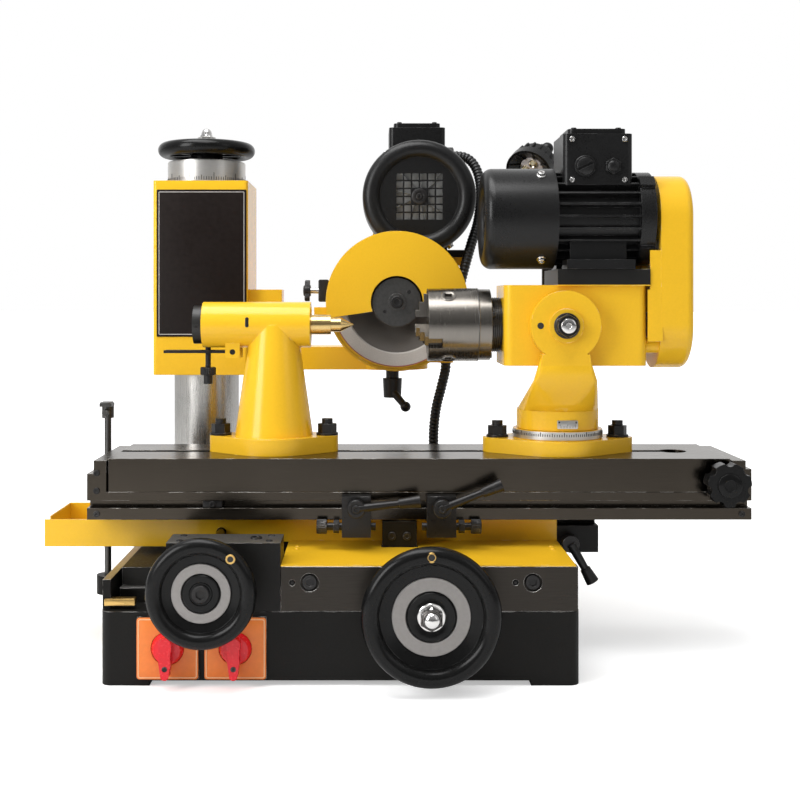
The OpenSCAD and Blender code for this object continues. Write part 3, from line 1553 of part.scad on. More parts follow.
module upper_hose() {
    color("#1a1a1b") ribbed_hose(upper_route);
}

module lower_hose() {
    color("#1a1a1b") ribbed_hose(lower_route);
}

base_casting();
column();
feed_nuts();
lamp_arm();
lamp_head();
switch_knob_left();
switch_knob_right();
rest_rod();
saddle();
apron();
chip_tray();
cross_handwheel();
cross_screw();
feed_handwheel();
feed_shaft();
feed_pinion();
saddle_lock_lever();
lower_table();
table_rack();
upper_table();
star_knob();
dog_left();
dog_right();
dog_lever_left();
dog_lever_right();
tailstock_body();
tailstock_bolts();
tail_center();
quill_spring();
quill_lever();
tail_screw();
work_base();
work_bolts();
work_post();
head_body();
work_motor();
work_belt_guard();
work_belt();
chuck();
work_spindle();
chuck_jaw_1();
chuck_jaw_2();
chuck_jaw_3();
work_rotor();
column_sleeve();
lift_handwheel();
lift_screw();
sleeve_box();
arm();
arm_clamp_lever();
spindle_housing();
wheel_guard();
wheel_motor();
wheel_belt_cover();
wheel_belt();
wheel_spindle();
grinding_wheel();
wheel_rotor();
upper_hose();
lower_hose();
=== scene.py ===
"""Looks of the tool and cutter grinder: finishes, conduits, small fittings, studio and camera."""
import bpy
import math
from itertools import product
from mathutils import Matrix, Vector


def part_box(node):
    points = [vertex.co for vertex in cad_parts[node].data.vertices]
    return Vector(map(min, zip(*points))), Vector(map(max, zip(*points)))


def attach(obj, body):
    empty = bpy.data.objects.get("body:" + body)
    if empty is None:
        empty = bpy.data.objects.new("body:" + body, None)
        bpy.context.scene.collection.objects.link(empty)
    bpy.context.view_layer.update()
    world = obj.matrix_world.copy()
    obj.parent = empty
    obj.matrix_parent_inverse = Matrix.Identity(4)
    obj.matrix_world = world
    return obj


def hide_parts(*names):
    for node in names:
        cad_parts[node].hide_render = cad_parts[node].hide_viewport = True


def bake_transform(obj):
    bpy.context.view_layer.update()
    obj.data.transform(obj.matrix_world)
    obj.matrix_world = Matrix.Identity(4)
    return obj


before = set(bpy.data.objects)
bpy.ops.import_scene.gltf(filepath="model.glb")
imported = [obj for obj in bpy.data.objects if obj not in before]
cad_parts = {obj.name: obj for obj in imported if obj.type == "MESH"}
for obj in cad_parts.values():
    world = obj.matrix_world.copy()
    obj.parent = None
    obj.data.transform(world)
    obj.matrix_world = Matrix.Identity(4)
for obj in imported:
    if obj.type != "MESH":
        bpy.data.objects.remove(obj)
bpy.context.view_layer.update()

# The frame is in metres; the sizes below are in millimetres
MM = 0.001
FRONT = (0, -1, 0)
UP = (0, 0, 1)
LEFT = (-1, 0, 0)
RIGHT = (1, 0, 0)
BACK = (0, 1, 0)


def box_mm(node):
    """Lowest and highest corner of a CAD node, in millimetres."""
    low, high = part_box(node)
    return low / MM, high / MM


def middle_mm(node):
    low, high = box_mm(node)
    return (low + high) / 2


def seat(origin, normal=FRONT, turn=0.0):
    """Frame whose +Z leaves the surface along normal, with +Y as near to up as it can be."""
    out = Vector(normal).normalized()
    upright = Vector((0, 1, 0)) if abs(out.z) > 0.9 else Vector(UP)
    side = upright.cross(out).normalized()
    rotation = Matrix((side, out.cross(side), out)).transposed()
    rotation = rotation @ Matrix.Rotation(math.radians(turn), 3, "Z")
    placed = rotation.to_4x4()
    placed.translation = Vector(origin)
    return placed


def spun(place, degrees):
    """A seat turned about its own +Z."""
    return place @ Matrix.Rotation(math.radians(degrees), 4, "Z")


def linked(name, data):
    """A new object in the scene."""
    made = bpy.data.objects.new(name, data)
    bpy.context.scene.collection.objects.link(made)
    return made


# Outlines, each a list of points that runs anticlockwise

CORNER_STEPS = 6


def polar(r, a):
    return (r * math.cos(a), r * math.sin(a))


def circle(r, count=48):
    return [polar(r, 2 * math.pi * k / count) for k in range(count)]


def polygon_ring(r, sides, count=48):
    """A regular polygon of corner radius r, with its points spread as evenly as a circle's."""
    half = math.pi / sides
    points = []
    for k in range(count):
        a = 2 * math.pi * k / count
        reach = r * math.cos(half) / math.cos((a + half) % (2 * half) - half)
        points.append(polar(reach, a))
    return points


def rounded(w, h, r):
    """A rectangle with round corners."""
    points = []
    for k, (sx, sy) in enumerate([(1, 1), (-1, 1), (-1, -1), (1, -1)]):
        for i in range(CORNER_STEPS + 1):
            x, y = polar(r, math.pi / 2 * (k + i / CORNER_STEPS))
            points.append((sx * (w / 2 - r) + x, sy * (h / 2 - r) + y))
    return points


def square_round_ring(r):
    """A circle whose points match those of rounded()."""
    return [polar(r, math.pi / 2 * (k + i / CORNER_STEPS * 0.999)) for k in range(4) for i in range(CORNER_STEPS + 1)]


class Piece:
    """Vertices and faces of one piece, in millimetres."""

    def __init__(self):
        self.points = []
        self.faces = []

    def loft(self, rings, loop=False):
        """A skin of quads through rings of equal counts, capped at both ends or closed into a loop."""
        count = len(rings[0])
        first = len(self.points)
        for ring in rings:
            self.points.extend(ring)
        spans = len(rings) if loop else len(rings) - 1
        for i in range(spans):
            start = first + i * count
            ahead = first + (i + 1) % len(rings) * count
            for k in range(count):
                n = (k + 1) % count
                self.faces.append((start + k, start + n, ahead + n, ahead + k))
        if not loop:
            last = first + (len(rings) - 1) * count
            self.faces.append(tuple(first + k for k in reversed(range(count))))
            self.faces.append(tuple(last + k for k in range(count)))
        return self

    def stack(self, place, layers, loop=False):
        """A loft of outlines at their heights above a seat: [(outline, height), ...]."""
        return self.loft([[place @ Vector((x, y, h)) for x, y in outline] for outline, h in layers], loop)

    def turned(self, place, profile, count=48, loop=False):
        """A turned form from [(radius, height), ...]."""
        return self.stack(place, [(circle(max(r, 0.05), count), h) for r, h in profile], loop)

    def ring(self, place, inner, outer, low, high, edge, count=64):
        """A flat ring with chamfered outer edges."""
        profile = [
            (inner, low), (outer - edge, low), (outer, low + edge), (outer, high - edge),
            (outer - edge, high), (inner + edge, high), (inner, high - edge),
        ]
        return self.turned(place, profile, count, loop=True)

    def slab(self, place, w, h, r, low, high, edge):
        """A rounded rectangular plate with a softened front edge."""
        soft = edge * 0.3
        return self.stack(place, [
            (rounded(w, h, r), low), (rounded(w, h, r), high - edge),
            (rounded(w - 2 * soft, h - 2 * soft, r - soft), high - soft),
            (rounded(w - 2 * edge, h - 2 * edge, r - edge), high),
        ])

    def frame_strip(self, place, w, h, strip, low, high, r=2.5):
        """A thin rectangular border."""
        inner = (w - 2 * strip, h - 2 * strip, max(r - strip, 0.4))
        return self.stack(place, [
            (rounded(w, h, r), low), (rounded(w, h, r), high),
            (rounded(*inner), high), (rounded(*inner), low),
        ], loop=True)

    def socket_screw(self, place, r, height, depth=0.6):
        """A cap screw with a hexagon socket."""
        chamfer = 0.12 * r
        socket = 0.56 * r
        return self.stack(place, [
            (circle(r, 24), 0), (circle(r, 24), height - chamfer), (circle(r - chamfer, 24), height),
            (polygon_ring(socket, 6, 24), height), (polygon_ring(socket, 6, 24), height * (1 - depth)),
        ])

    def socket_screws(self, spots, normal, r, height, depth=0.6):
        """Equal cap screws at several spots of one face."""
        for spot in spots:
            self.socket_screw(seat(spot, normal), r, height, depth)
        return self

    def slot_screw(self, place, r, height):
        """A cheese-head screw with a slot across it."""
        self.turned(place, [(r, 0), (r, 0.6 * height)], 24)
        lean = math.asin(0.16)
        arc = [lean + (math.pi - 2 * lean) * k / 12 for k in range(13)]
        for turn in (0, 180):
            self.stack(spun(place, turn), [([polar(reach, a) for a in arc], h) for reach, h in (
                (r, 0.55 * height), (r, 0.9 * height), (0.92 * r, height))])
        return self

    def hex_nut(self, place, corner, height, bore):
        """A hexagon nut with chamfered corners."""
        flat = corner * math.cos(math.pi / 6)
        return self.stack(place, [
            (polygon_ring(corner, 6), 0), (polygon_ring(corner, 6), height - 0.13 * corner),
            (circle(flat * 0.97), height), (circle(bore + 0.6), height), (circle(bore), height - 0.6),
            (circle(bore), 0),
        ], loop=True)

    def dome(self, place, r, height):
        """A button-shaped rivet or cap."""
        arc = [math.pi / 2 * i / 5 for i in range(6)]
        return self.turned(place, [(r * math.cos(a), height * math.sin(a)) for a in arc], 24)

    def ticks(self, place, radius, depth, pitch, low, highs, width):
        """Graduation marks round a drum: short, and longer at each fifth and tenth."""
        for k in range(int(360 / pitch)):
            turn = spun(place, k * pitch)
            high = highs[2] if k % 10 == 0 else highs[1] if k % 5 == 0 else highs[0]
            self.loft([[turn @ Vector((radius + depth * side, y, z)) for y, z in
                        [(-width / 2, low), (width / 2, low), (width / 2, high), (-width / 2, high)]]
                       for side in (0, 1)])
        return self

    def make(self, name, material, body, slot, smooth=38):
        """The finished object, riding on its body; body None leaves it unattached."""
        mesh = bpy.data.meshes.new(name)
        mesh.from_pydata([Vector(p) * MM for p in self.points], [], self.faces)
        mesh.validate()
        mesh.shade_smooth()
        mesh.set_sharp_from_angle(angle=math.radians(smooth))
        mesh.materials.append(material)
        made = linked(name, mesh)
        if body is not None:
            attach(made, body)
        return made


# Finishes

class NodeTree:
    """A node tree, with short ways to add nodes."""

    def __init__(self, tree):
        self.tree = tree

    def put(self, socket, value):
        if isinstance(value, bpy.types.NodeSocket):
            self.tree.links.new(value, socket)
        else:
            socket.default_value = value

    def add(self, kind, inputs=None, **settings):
        made = self.tree.nodes.new("ShaderNode" + kind)
        for name, value in settings.items():
            setattr(made, name, value)
        for name, value in (inputs or {}).items():
            self.put(made.inputs[name], value)
        return made

    def math(self, operation, a, b=0.0):
        return self.add("Math", {0: a, 1: b}, operation=operation).outputs[0]

    def remap(self, value, low, high, to_low=0.0, to_high=1.0):
        inputs = {"Value": value, "From Min": low, "From Max": high, "To Min": to_low, "To Max": to_high}
        return self.add("MapRange", inputs).outputs[0]

    def mix(self, factor, a, b):
        """Colours where a and b are colours, else plain values."""
        colours = not (isinstance(a, float) or getattr(a, "type", "") == "VALUE")
        made = self.add("Mix", data_type="RGBA" if colours else "FLOAT")
        self.put(made.inputs[0], factor)
        for index, value in ((6, a), (7, b)) if colours else ((2, a), (3, b)):
            self.put(made.inputs[index], (*value, 1.0) if isinstance(value, tuple) else value)
        return made.outputs[2 if colours else 0]

    def along(self, vector, letter):
        return self.add("SeparateXYZ", {0: vector}).outputs["xyz".index(letter)]


class Graph(NodeTree):
    """The node tree of one material, with noise and masks by place."""

    def __init__(self, name):
        self.material = bpy.data.materials.new(name)
        self.material.use_nodes = True
        super().__init__(self.material.node_tree)
        self.shader = self.tree.nodes["Principled BSDF"]
        coordinates = self.add("TexCoord")
        self.place = coordinates.outputs["Object"]
        self.normal = coordinates.outputs["Normal"]

    def noise(self, scale, detail, stretch=(1, 1, 1)):
        moved = self.add("Mapping", {"Vector": self.place, "Scale": stretch}).outputs[0]
        return self.add("TexNoise", {"Vector": moved, "Scale": scale, "Detail": detail}).outputs[0]

    def within(self, value, low, high):
        """Mask of the points where a length lies between two limits in millimetres."""
        return self.math("MULTIPLY", self.math("GREATER_THAN", value, low * MM),
                         self.math("LESS_THAN", value, high * MM))

    def between(self, letter, low, high):
        """Mask of the points whose coordinate lies between two limits."""
        return self.within(self.along(self.place, letter), low, high)

    def faces(self, letter, least):
        """Mask of the faces that look along an axis, towards the sign of least."""
        value = self.along(self.normal, letter)
        return self.math("GREATER_THAN" if least > 0 else "LESS_THAN", value, least)

    def tops(self, low, high):
        """Mask of the level faces between two heights."""
        return self.math("MULTIPLY", self.between("z", low, high), self.faces("z", TOP_FACE))

    def ring_about(self, center, axis, inner, outer):
        """Mask of a ring about an axis through center, in millimetres."""
        offset = self.add("VectorMath", {0: self.place, 1: Vector(center) * MM}, operation="SUBTRACT").outputs[0]
        keep = tuple(0.0 if letter == axis else 1.0 for letter in "xyz")
        flat = self.add("VectorMath", {0: offset, 1: keep}, operation="MULTIPLY").outputs[0]
        reach = self.add("VectorMath", {0: flat}, operation="LENGTH").outputs["Value"]
        return self.within(reach, inner, outer)


# Scale of the slow drift and of the rubbed patches, and depth of the grain in metres
DRIFT_SCALE = 9.0
PATCH_SCALE = 70.0
GRAIN_DEPTH = 0.0008


def shade(colour, factor):
    return tuple(min(1.0, c * factor) for c in colour)


def finish(name, colour, rough, metal=0.0, grain=140.0, stretch=(1, 1, 1), vary=0.12, relief=0.05,
           edge=0.7, wear=None, zones=(), **fixed):
    """A worn workshop finish: colour and gloss drift with noise, edges are rounded and rubbed, zones differ.

    wear is (colour, rough, metal, amount) on the edges; zones hold (mask maker, colour, rough, metal)."""
    g = Graph(name)
    fine = g.noise(grain, 5.0, stretch)
    broad = g.noise(DRIFT_SCALE, 3.0)
    drift = g.remap(g.math("ADD", fine, broad), 0.65, 1.35)
    tint = g.mix(drift, shade(colour, 1 - vary), shade(colour, 1 + vary))
    gloss = g.remap(drift, 0.0, 1.0, rough * (1 - vary), rough * (1 + 1.6 * vary))
    metallic = float(metal)
    for mask_maker, zone_colour, zone_rough, zone_metal in zones:
        mask = mask_maker(g)
        zone_tint = g.mix(drift, shade(zone_colour, 1 - vary), shade(zone_colour, 1 + vary))
        tint = g.mix(mask, tint, zone_tint)
        gloss = g.mix(mask, gloss, float(zone_rough))
        if zone_metal != metal:
            metallic = g.mix(mask, metallic, float(zone_metal))
    rounded_edge = g.add("Bevel", {"Radius": edge * MM}, samples=4).outputs[0]
    if wear:
        wear_colour, wear_rough, wear_metal, amount = wear
        flat = g.add("NewGeometry").outputs["True Normal"]
        turn = g.add("VectorMath", {0: rounded_edge, 1: flat}, operation="DOT_PRODUCT").outputs["Value"]
        rim = g.remap(turn, 0.97, 0.8)
        patchy = g.remap(g.noise(PATCH_SCALE, 4.0), 0.62 - 0.3 * amount, 0.72 - 0.3 * amount)
        rubbed = g.math("MULTIPLY", rim, patchy)
        tint = g.mix(rubbed, tint, wear_colour)
        gloss = g.mix(rubbed, gloss, float(wear_rough))
        if wear_metal != metal or not isinstance(metallic, float):
            metallic = g.mix(rubbed, metallic, float(wear_metal))
    bump = g.add("Bump", {"Strength": relief, "Distance": GRAIN_DEPTH, "Height": fine, "Normal": rounded_edge})
    drawn = {"Base Color": tint, "Roughness": gloss, "Metallic": metallic, "Normal": bump.outputs[0]}
    for key, value in {**drawn, **fixed}.items():
        g.put(g.shader.inputs[key.replace("_", " ")], value)
    g.material.diffuse_color = (*colour, 1.0)
    return g.material


YELLOW = (0.86, 0.50, 0.022)
BLACK = (0.0085, 0.008, 0.0072)
GLOSS_BLACK = (0.006, 0.006, 0.006)
STEEL = (0.60, 0.585, 0.56)
DARK_STEEL = (0.125, 0.109, 0.09)
BRASS = (0.72, 0.47, 0.16)
RUB = (0.34, 0.33, 0.32)
GREY_RUB = (RUB, 0.4, 0.6, 0.5)
PALE_RUB = ((0.95, 0.78, 0.40), 0.45, 0.0, 0.15)
ENAMEL = dict(grain=420.0, vary=0.035, relief=0.035, edge=1.2, wear=PALE_RUB, Specular_IOR_Level=0.36)
TOP_FACE = 0.9

# Places of the machine that several fittings share
base_low = box_mm("base_casting")[0]
head_low, head_high = box_mm("head_body")
barrel_low = box_mm("tailstock_body")[0]
wheel_axis = middle_mm("grinding_wheel")
post_low = box_mm("work_post")[0]
WORK_X = 235
AXIS_Z = 349
WORK_MOTOR_Z = 465
WHEEL_MOTOR = (88, 499.8)
WAY_Z = 72.5
GEAR_TOP_Z = 138.5
MOTOR_PLATE_Z = 392.2

yellow = finish("yellow_enamel", YELLOW, 0.2, **ENAMEL)
casting = finish("casting_black", BLACK, 0.42, grain=520.0, vary=0.25, relief=0.16, edge=1.2, wear=GREY_RUB,
                 zones=[(lambda g: g.tops(WAY_Z, 120), STEEL, 0.35, 1.0)], Specular_IOR_Level=0.16)
saddle_black = finish("saddle_black", BLACK, 0.38, grain=420.0, vary=0.25, relief=0.12, edge=0.9, wear=GREY_RUB,
                      zones=[(lambda g: g.tops(GEAR_TOP_Z, 160), STEEL, 0.34, 1.0)], Specular_IOR_Level=0.2)
satin_plate = finish("satin_plate", (0.034, 0.029, 0.024), 0.3, 0.7, grain=60.0, stretch=(0.6, 6, 14), vary=0.2,
                     relief=0.03, edge=0.9, wear=((0.7, 0.68, 0.65), 0.3, 1.0, 0.95))
bright = finish("bright_steel", STEEL, 0.27, 1.0, grain=60.0, stretch=(14, 14, 0.7), vary=0.14, relief=0.05,
                edge=0.6)
turned_steel = finish("turned_steel", (0.235, 0.218, 0.196), 0.24, 1.0, grain=70.0, stretch=(14, 0.8, 0.8),
                      vary=0.14, relief=0.05, edge=0.7)
chrome = finish("chrome", (0.74, 0.73, 0.72), 0.12, 1.0, grain=200.0, vary=0.08, relief=0.02, edge=0.5)
table_steel = finish("table_steel", DARK_STEEL, 0.24, 1.0, grain=50.0, stretch=(0.5, 12, 30), vary=0.12,
                     relief=0.03, edge=0.7, wear=((0.42, 0.40, 0.37), 0.3, 1.0, 0.5),
                     zones=[(lambda g: g.faces("y", -0.9), (0.062, 0.053, 0.043), 0.2, 1.0)])
dark_steel = finish("dark_steel", (0.10, 0.098, 0.095), 0.34, 0.9, grain=300.0, vary=0.2, relief=0.05, edge=0.6,
                    wear=((0.42, 0.41, 0.40), 0.35, 1.0, 0.4))
# Black oxide steel for the fittings; also the painted shade of the flat black discs that stand for holes
black_oxide_and_hole_shade = finish("black_oxide_and_hole_shade", (0.022, 0.021, 0.021), 0.34, 0.5, grain=260.0, vary=0.25, relief=0.05,
                     edge=0.6, wear=(RUB, 0.35, 1.0, 0.35))
gloss_black = finish("gloss_black", GLOSS_BLACK, 0.2, grain=380.0, vary=0.2, relief=0.03, edge=1.0,
                     wear=((0.09, 0.088, 0.085), 0.3, 0.0, 0.3), Specular_IOR_Level=0.2)
motor_black = finish("motor_black", (0.008, 0.008, 0.0082), 0.3, grain=700.0, vary=0.25, relief=0.1, edge=0.9,
                     wear=((0.10, 0.10, 0.10), 0.4, 0.0, 0.4), Specular_IOR_Level=0.3)
red_plastic = finish("red_plastic", (0.78, 0.006, 0.018), 0.26, grain=320.0, vary=0.1, relief=0.05, edge=0.9,
                     wear=((0.85, 0.16, 0.15), 0.4, 0.0, 0.2))
orange_plate = finish("orange_plate", (0.80, 0.21, 0.032), 0.4, grain=220.0, vary=0.07, relief=0.04, edge=0.4)
pale_line = finish("pale_line", (0.86, 0.50, 0.26), 0.45, grain=220.0, vary=0.06, relief=0.02, edge=0.2)
silver_line = finish("silver_line", (0.55, 0.53, 0.50), 0.4, 0.5, grain=220.0, vary=0.08, relief=0.02, edge=0.2)
brass = finish("brass", BRASS, 0.28, 1.0, grain=160.0, vary=0.12, relief=0.04, edge=0.5)
bronze = finish("bronze", (0.46, 0.27, 0.09), 0.36, 1.0, grain=160.0, vary=0.15, relief=0.06, edge=0.6)
center_gold = finish("center_gold", (0.70, 0.50, 0.21), 0.22, 1.0, grain=80.0, stretch=(14, 1, 1), vary=0.12,
                     relief=0.04, edge=0.5,
                     zones=[(lambda g: g.between("x", -400, barrel_low.x), BLACK, 0.4, 0.0)])
dial_silver = finish("dial_silver", (0.30, 0.285, 0.275), 0.42, 0.85, grain=260.0, vary=0.1, relief=0.05, edge=0.4)
ring_silver = finish("ring_silver", (0.62, 0.61, 0.59), 0.34, 0.9, grain=120.0, stretch=(1, 1, 9), vary=0.08,
                     relief=0.03, edge=0.4)
plate_black = finish("plate_black", (0.012, 0.0085, 0.0075), 0.42, grain=180.0, vary=0.22, relief=0.03, edge=0.4,
                     wear=((0.2, 0.19, 0.18), 0.4, 0.3, 0.2), Specular_IOR_Level=0.12)
# Black print for marks and graduations; also the painted shade of the flat black discs that stand for holes
ink_and_hole_shade = finish("ink_and_hole_shade", (0.02, 0.02, 0.02), 0.6, grain=200.0, vary=0.2, relief=0.02, edge=0.1)
rubber = finish("belt_rubber", (0.016, 0.016, 0.016), 0.62, grain=300.0, vary=0.25, relief=0.2, edge=0.6)
hose_black = finish("hose_black", (0.012, 0.012, 0.0125), 0.36, grain=260.0, vary=0.25, relief=0.05, edge=0.5)
fan_plastic = finish("fan_plastic", (0.34, 0.34, 0.33), 0.45, grain=200.0, vary=0.1, relief=0.05, edge=0.6,
                     zones=[(lambda g: g.ring_about((0, 0, WORK_MOTOR_Z), "x", 0, 10), STEEL, 0.3, 1.0),
                            (lambda g: g.ring_about((WHEEL_MOTOR[0], 0, WHEEL_MOTOR[1]), "y", 0, 10), STEEL, 0.3,
                             1.0)])
lamp_glass = finish("led_dome", (0.88, 0.80, 0.56), 0.12, grain=150.0, vary=0.06, relief=0.02, edge=0.4,
                    Coat_Weight=0.6, Coat_Roughness=0.04)
lamp_white = finish("lamp_board", (0.78, 0.72, 0.70), 0.4, grain=200.0, vary=0.06, relief=0.02, edge=0.3)
reflector = finish("reflector", (0.80, 0.72, 0.58), 0.16, 1.0, grain=150.0, vary=0.1, relief=0.03, edge=0.4)
abrasive = finish("abrasive", (0.085, 0.075, 0.066), 0.7, grain=1500.0, vary=0.45, relief=0.5, edge=0.6, zones=[
    (lambda g: g.ring_about(wheel_axis, "y", 58.5, 73.8), (0.42, 0.39, 0.36), 0.55, 0.1),
    (lambda g: g.ring_about(wheel_axis, "y", 73.8, 90), (0.30, 0.085, 0.05), 0.7, 0.0)])
head_paint = finish("head_enamel", YELLOW, 0.2, **ENAMEL, zones=[
    (lambda g: g.between("z", MOTOR_PLATE_Z, 600), BLACK, 0.4, 0.0),
    (lambda g: g.between("y", -120, -head_high.y - 1), (0.12, 0.12, 0.12), 0.35, 0.9)])
spindle_dark = finish("spindle_dark", (0.10, 0.098, 0.095), 0.3, 1.0, grain=80.0, stretch=(9, 1, 1), vary=0.2,
                      relief=0.05, edge=0.6)

# Finish of every CAD node
NODE_FINISH = {
    yellow: "chip_tray tailstock_body work_base work_post work_belt_guard sleeve_box arm spindle_housing "
            "wheel_guard wheel_belt_cover",
    head_paint: "head_body",
    casting: "base_casting",
    saddle_black: "saddle",
    satin_plate: "apron",
    bright: "column column_sleeve lift_screw cross_screw",
    turned_steel: "chuck chuck_jaw_1 chuck_jaw_2 chuck_jaw_3 feed_shaft feed_pinion",
    table_steel: "lower_table upper_table table_rack",
    dark_steel: "rest_rod quill_spring wheel_spindle",
    spindle_dark: "work_spindle",
    black_oxide_and_hole_shade: "saddle_lock_lever dog_left dog_right dog_lever_left dog_lever_right tailstock_bolts work_bolts "
                 "quill_lever tail_screw arm_clamp_lever",
    gloss_black: "cross_handwheel feed_handwheel lift_handwheel star_knob",
    motor_black: "work_motor wheel_motor lamp_arm lamp_head",
    red_plastic: "switch_knob_left switch_knob_right",
    bronze: "feed_nuts",
    center_gold: "tail_center",
    rubber: "work_belt wheel_belt",
    hose_black: "upper_hose lower_hose",
    fan_plastic: "work_rotor wheel_rotor",
    abrasive: "grinding_wheel",
}
for material, nodes in NODE_FINISH.items():
    for node in nodes.split():
        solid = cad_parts[node]
        if not solid.material_slots:
            solid.data.materials.append(material)
        for material_slot in solid.material_slots:
            material_slot.material = material

# Corrugated conduits from the wheel motor to the arm's clip, and on into the base
HOSE_R = 6.3
HOSE_BORE_R = 4.4
HOSE_RIB = 0.9
RIB_PITCH = 4.4
upper_route = [
    (127, 190, 557.8), (148, 190, 555.8), (160, 186, 545), (166, 178, 525), (166, 167, 500), (161, 153, 470),
    (152, 139, 444), (143, 129, 415), (135, 125, 385), (128, 130, 355), (122, 140, 332), (121, 143, 318),
    (121, 143, 306),
]
lower_route = [
    (121, 143, 305.7), (121, 143, 292), (116, 144, 270), (110, 146, 245), (107, 148, 218), (107, 149, 190),
    (109, 150, 160), (111, 150, 136), (112, 150, 116), (112, 150, 90),
]


def smooth_route(route, steps):
    """Points of a smooth curve through the route's points, steps to a span."""
    points = [Vector(p) for p in route]
    last = len(points) - 1
    curve = []
    for i in range(last):
        a, b, c, d = points[max(i - 1, 0)], points[i], points[i + 1], points[min(i + 2, last)]
        for k in range(steps):
            t = k / steps
            curve.append(0.5 * (2 * b + (c - a) * t + (2 * a - 5 * b + 4 * c - d) * t ** 2
                                + (3 * b - 3 * c + d - a) * t ** 3))
    return curve + [points[-1]]


def even_spots(curve, gap):
    """Points at equal steps along a curve, with the curve's direction at each."""
    lengths = [0.0]
    for a, b in zip(curve, curve[1:]):
        lengths.append(lengths[-1] + (b - a).length)
    count = round(lengths[-1] / gap)
    spots = []
    j = 0
    for i in range(count + 1):
        goal = lengths[-1] * i / count
        while j < len(curve) - 2 and lengths[j + 1] < goal:
            j += 1
        share = (goal - lengths[j]) / max(lengths[j + 1] - lengths[j], 1e-9)
        ahead, behind = curve[min(j + 2, len(curve) - 1)], curve[max(j - 1, 0)]
        spots.append((curve[j].lerp(curve[j + 1], share), (ahead - behind).normalized()))
    return spots, lengths[-1]


def conduit(name, route, node):
    """A ribbed tube curving along a route between the two bodies that hold its ends."""
    phases = 6
    sides = 20
    spots, length = even_spots(smooth_route(route, 24), RIB_PITCH / phases)
    outer, inner = [], []
    for i, (center, along) in enumerate(spots):
        side = along.cross(Vector((0.2, 1, 0.1))).normalized()
        across = along.cross(side)
        swell = (0.5 - 0.5 * math.cos(2 * math.pi * i / phases)) ** 0.6
        for ring, r in ((outer, HOSE_R - HOSE_RIB * (1 - swell)), (inner, HOSE_BORE_R)):
            ring.append([center + side * x + across * y for x, y in circle(r, sides)])
    piece = Piece().loft(outer + inner[::-1], loop=True)
    made = piece.make(name, hose_black, None, "hose_plastic", 60)
    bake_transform(made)
    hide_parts(node)


conduit("upper_conduit", upper_route, "upper_hose")
conduit("lower_conduit", lower_route, "lower_hose")

# Handwheels: dial rings, hub caps, nuts and the bushes of the crank handles' holes, each hole drawn as a black disc
# of painted shade
SHAFT_END = 3
RIM_FRONT = 10.4
RIM_TO_BUSH = 8
CROSS_BUSH_R = 58
wheel_front_y = box_mm("feed_shaft")[0].y + SHAFT_END
cross_axis = middle_mm("cross_handwheel")
feed_axis = middle_mm("feed_handwheel")
lift_axis = middle_mm("lift_handwheel")


def handwheel_trim(prefix, axis, body, ring_r, ring_outer, cap_r, bush_at, bush_r):
    """Dial ring with its graduations, hub cap and the brass bush of a crank handle, with a black disc in the bush as
    painted shade for its hole.
    """
    face = seat((axis.x, wheel_front_y, axis.z))
    Piece().ring(face, ring_r, ring_outer, -2.0, 2.2, 0.5).make(
        prefix + "_dial", dial_silver, body, "machined_steel")
    Piece().turned(face, [(cap_r, -0.5), (cap_r, 2.4), (cap_r - 1.2, 3.6), (cap_r * 0.62, 3.6),
                          (cap_r * 0.58, 2.9), (4, 2.9)]).make(
        prefix + "_hub_cap", gloss_black, body, "black_plastic")
    bush = seat((axis.x + bush_at[0], wheel_front_y - RIM_FRONT, axis.z + bush_at[1]))
    Piece().ring(bush, bush_r, bush_r + 1.8, -0.6, 0.7, 0.3, 32).make(prefix + "_bush", brass, body, "bronze")
    # Flat black disc inside the bush: painted shade standing for the handle's hole
    Piece().turned(bush, [(bush_r + 0.2, -0.6), (bush_r + 0.2, 0.2), (0.5 * bush_r, 0.1), (0.1, 0.1)], 24).make(
        prefix + "_bush_hole_shade", ink_and_hole_shade, body, "black_metal")


handwheel_trim("cross", cross_axis, "cross_wheel", 24.2, 37.6, 23.6, (0, CROSS_BUSH_R), 3.2)
feed_lean = math.radians(40)
feed_reach = box_mm("feed_handwheel")[1].x - feed_axis.x - RIM_TO_BUSH
handwheel_trim("feed", feed_axis, "feed_wheel", 18.8, 28.4, 18.2,
               (feed_reach * math.sin(feed_lean), feed_reach * math.cos(feed_lean)), 2.8)
lift_top = seat((lift_axis.x, lift_axis.y, box_mm("lift_screw")[1].z), UP)
Piece().stack(lift_top, [(polygon_ring(8.4, 6), -9), (polygon_ring(8.4, 6), -3.6), (circle(7.0), -2.6),
                         (circle(6.6), 0), (circle(5.4), 3.0), (circle(3.4), 4.8), (circle(0.1), 5.6)]).make(
    "lift_acorn_nut", chrome, "lift_wheel", "machined_steel")
acorn_seat = seat((cross_axis.x, wheel_front_y - SHAFT_END, cross_axis.z))
acorn = Piece().turned(acorn_seat, [(13.5, 0), (13.5, 1.6), (12.8, 2.2), (8, 2.2)])
acorn.stack(acorn_seat, [(polygon_ring(11.8, 6), 2.0), (polygon_ring(11.8, 6), 7.6), (circle(10.0), 8.8),
                         (circle(9.4), 9.4), (circle(9.0), 12), (circle(7.6), 15.4), (circle(5.2), 17.6),
                         (circle(2.4), 18.7), (circle(0.1), 18.9)])
acorn.make("cross_acorn_nut", chrome, "cross_wheel", "machined_steel")
feed_screw_seat = seat((feed_axis.x, wheel_front_y - SHAFT_END, feed_axis.z))
Piece().socket_screw(feed_screw_seat, 8.6, 3.4).make("feed_hub_screw", black_oxide_and_hole_shade, "feed_wheel", "black_metal")

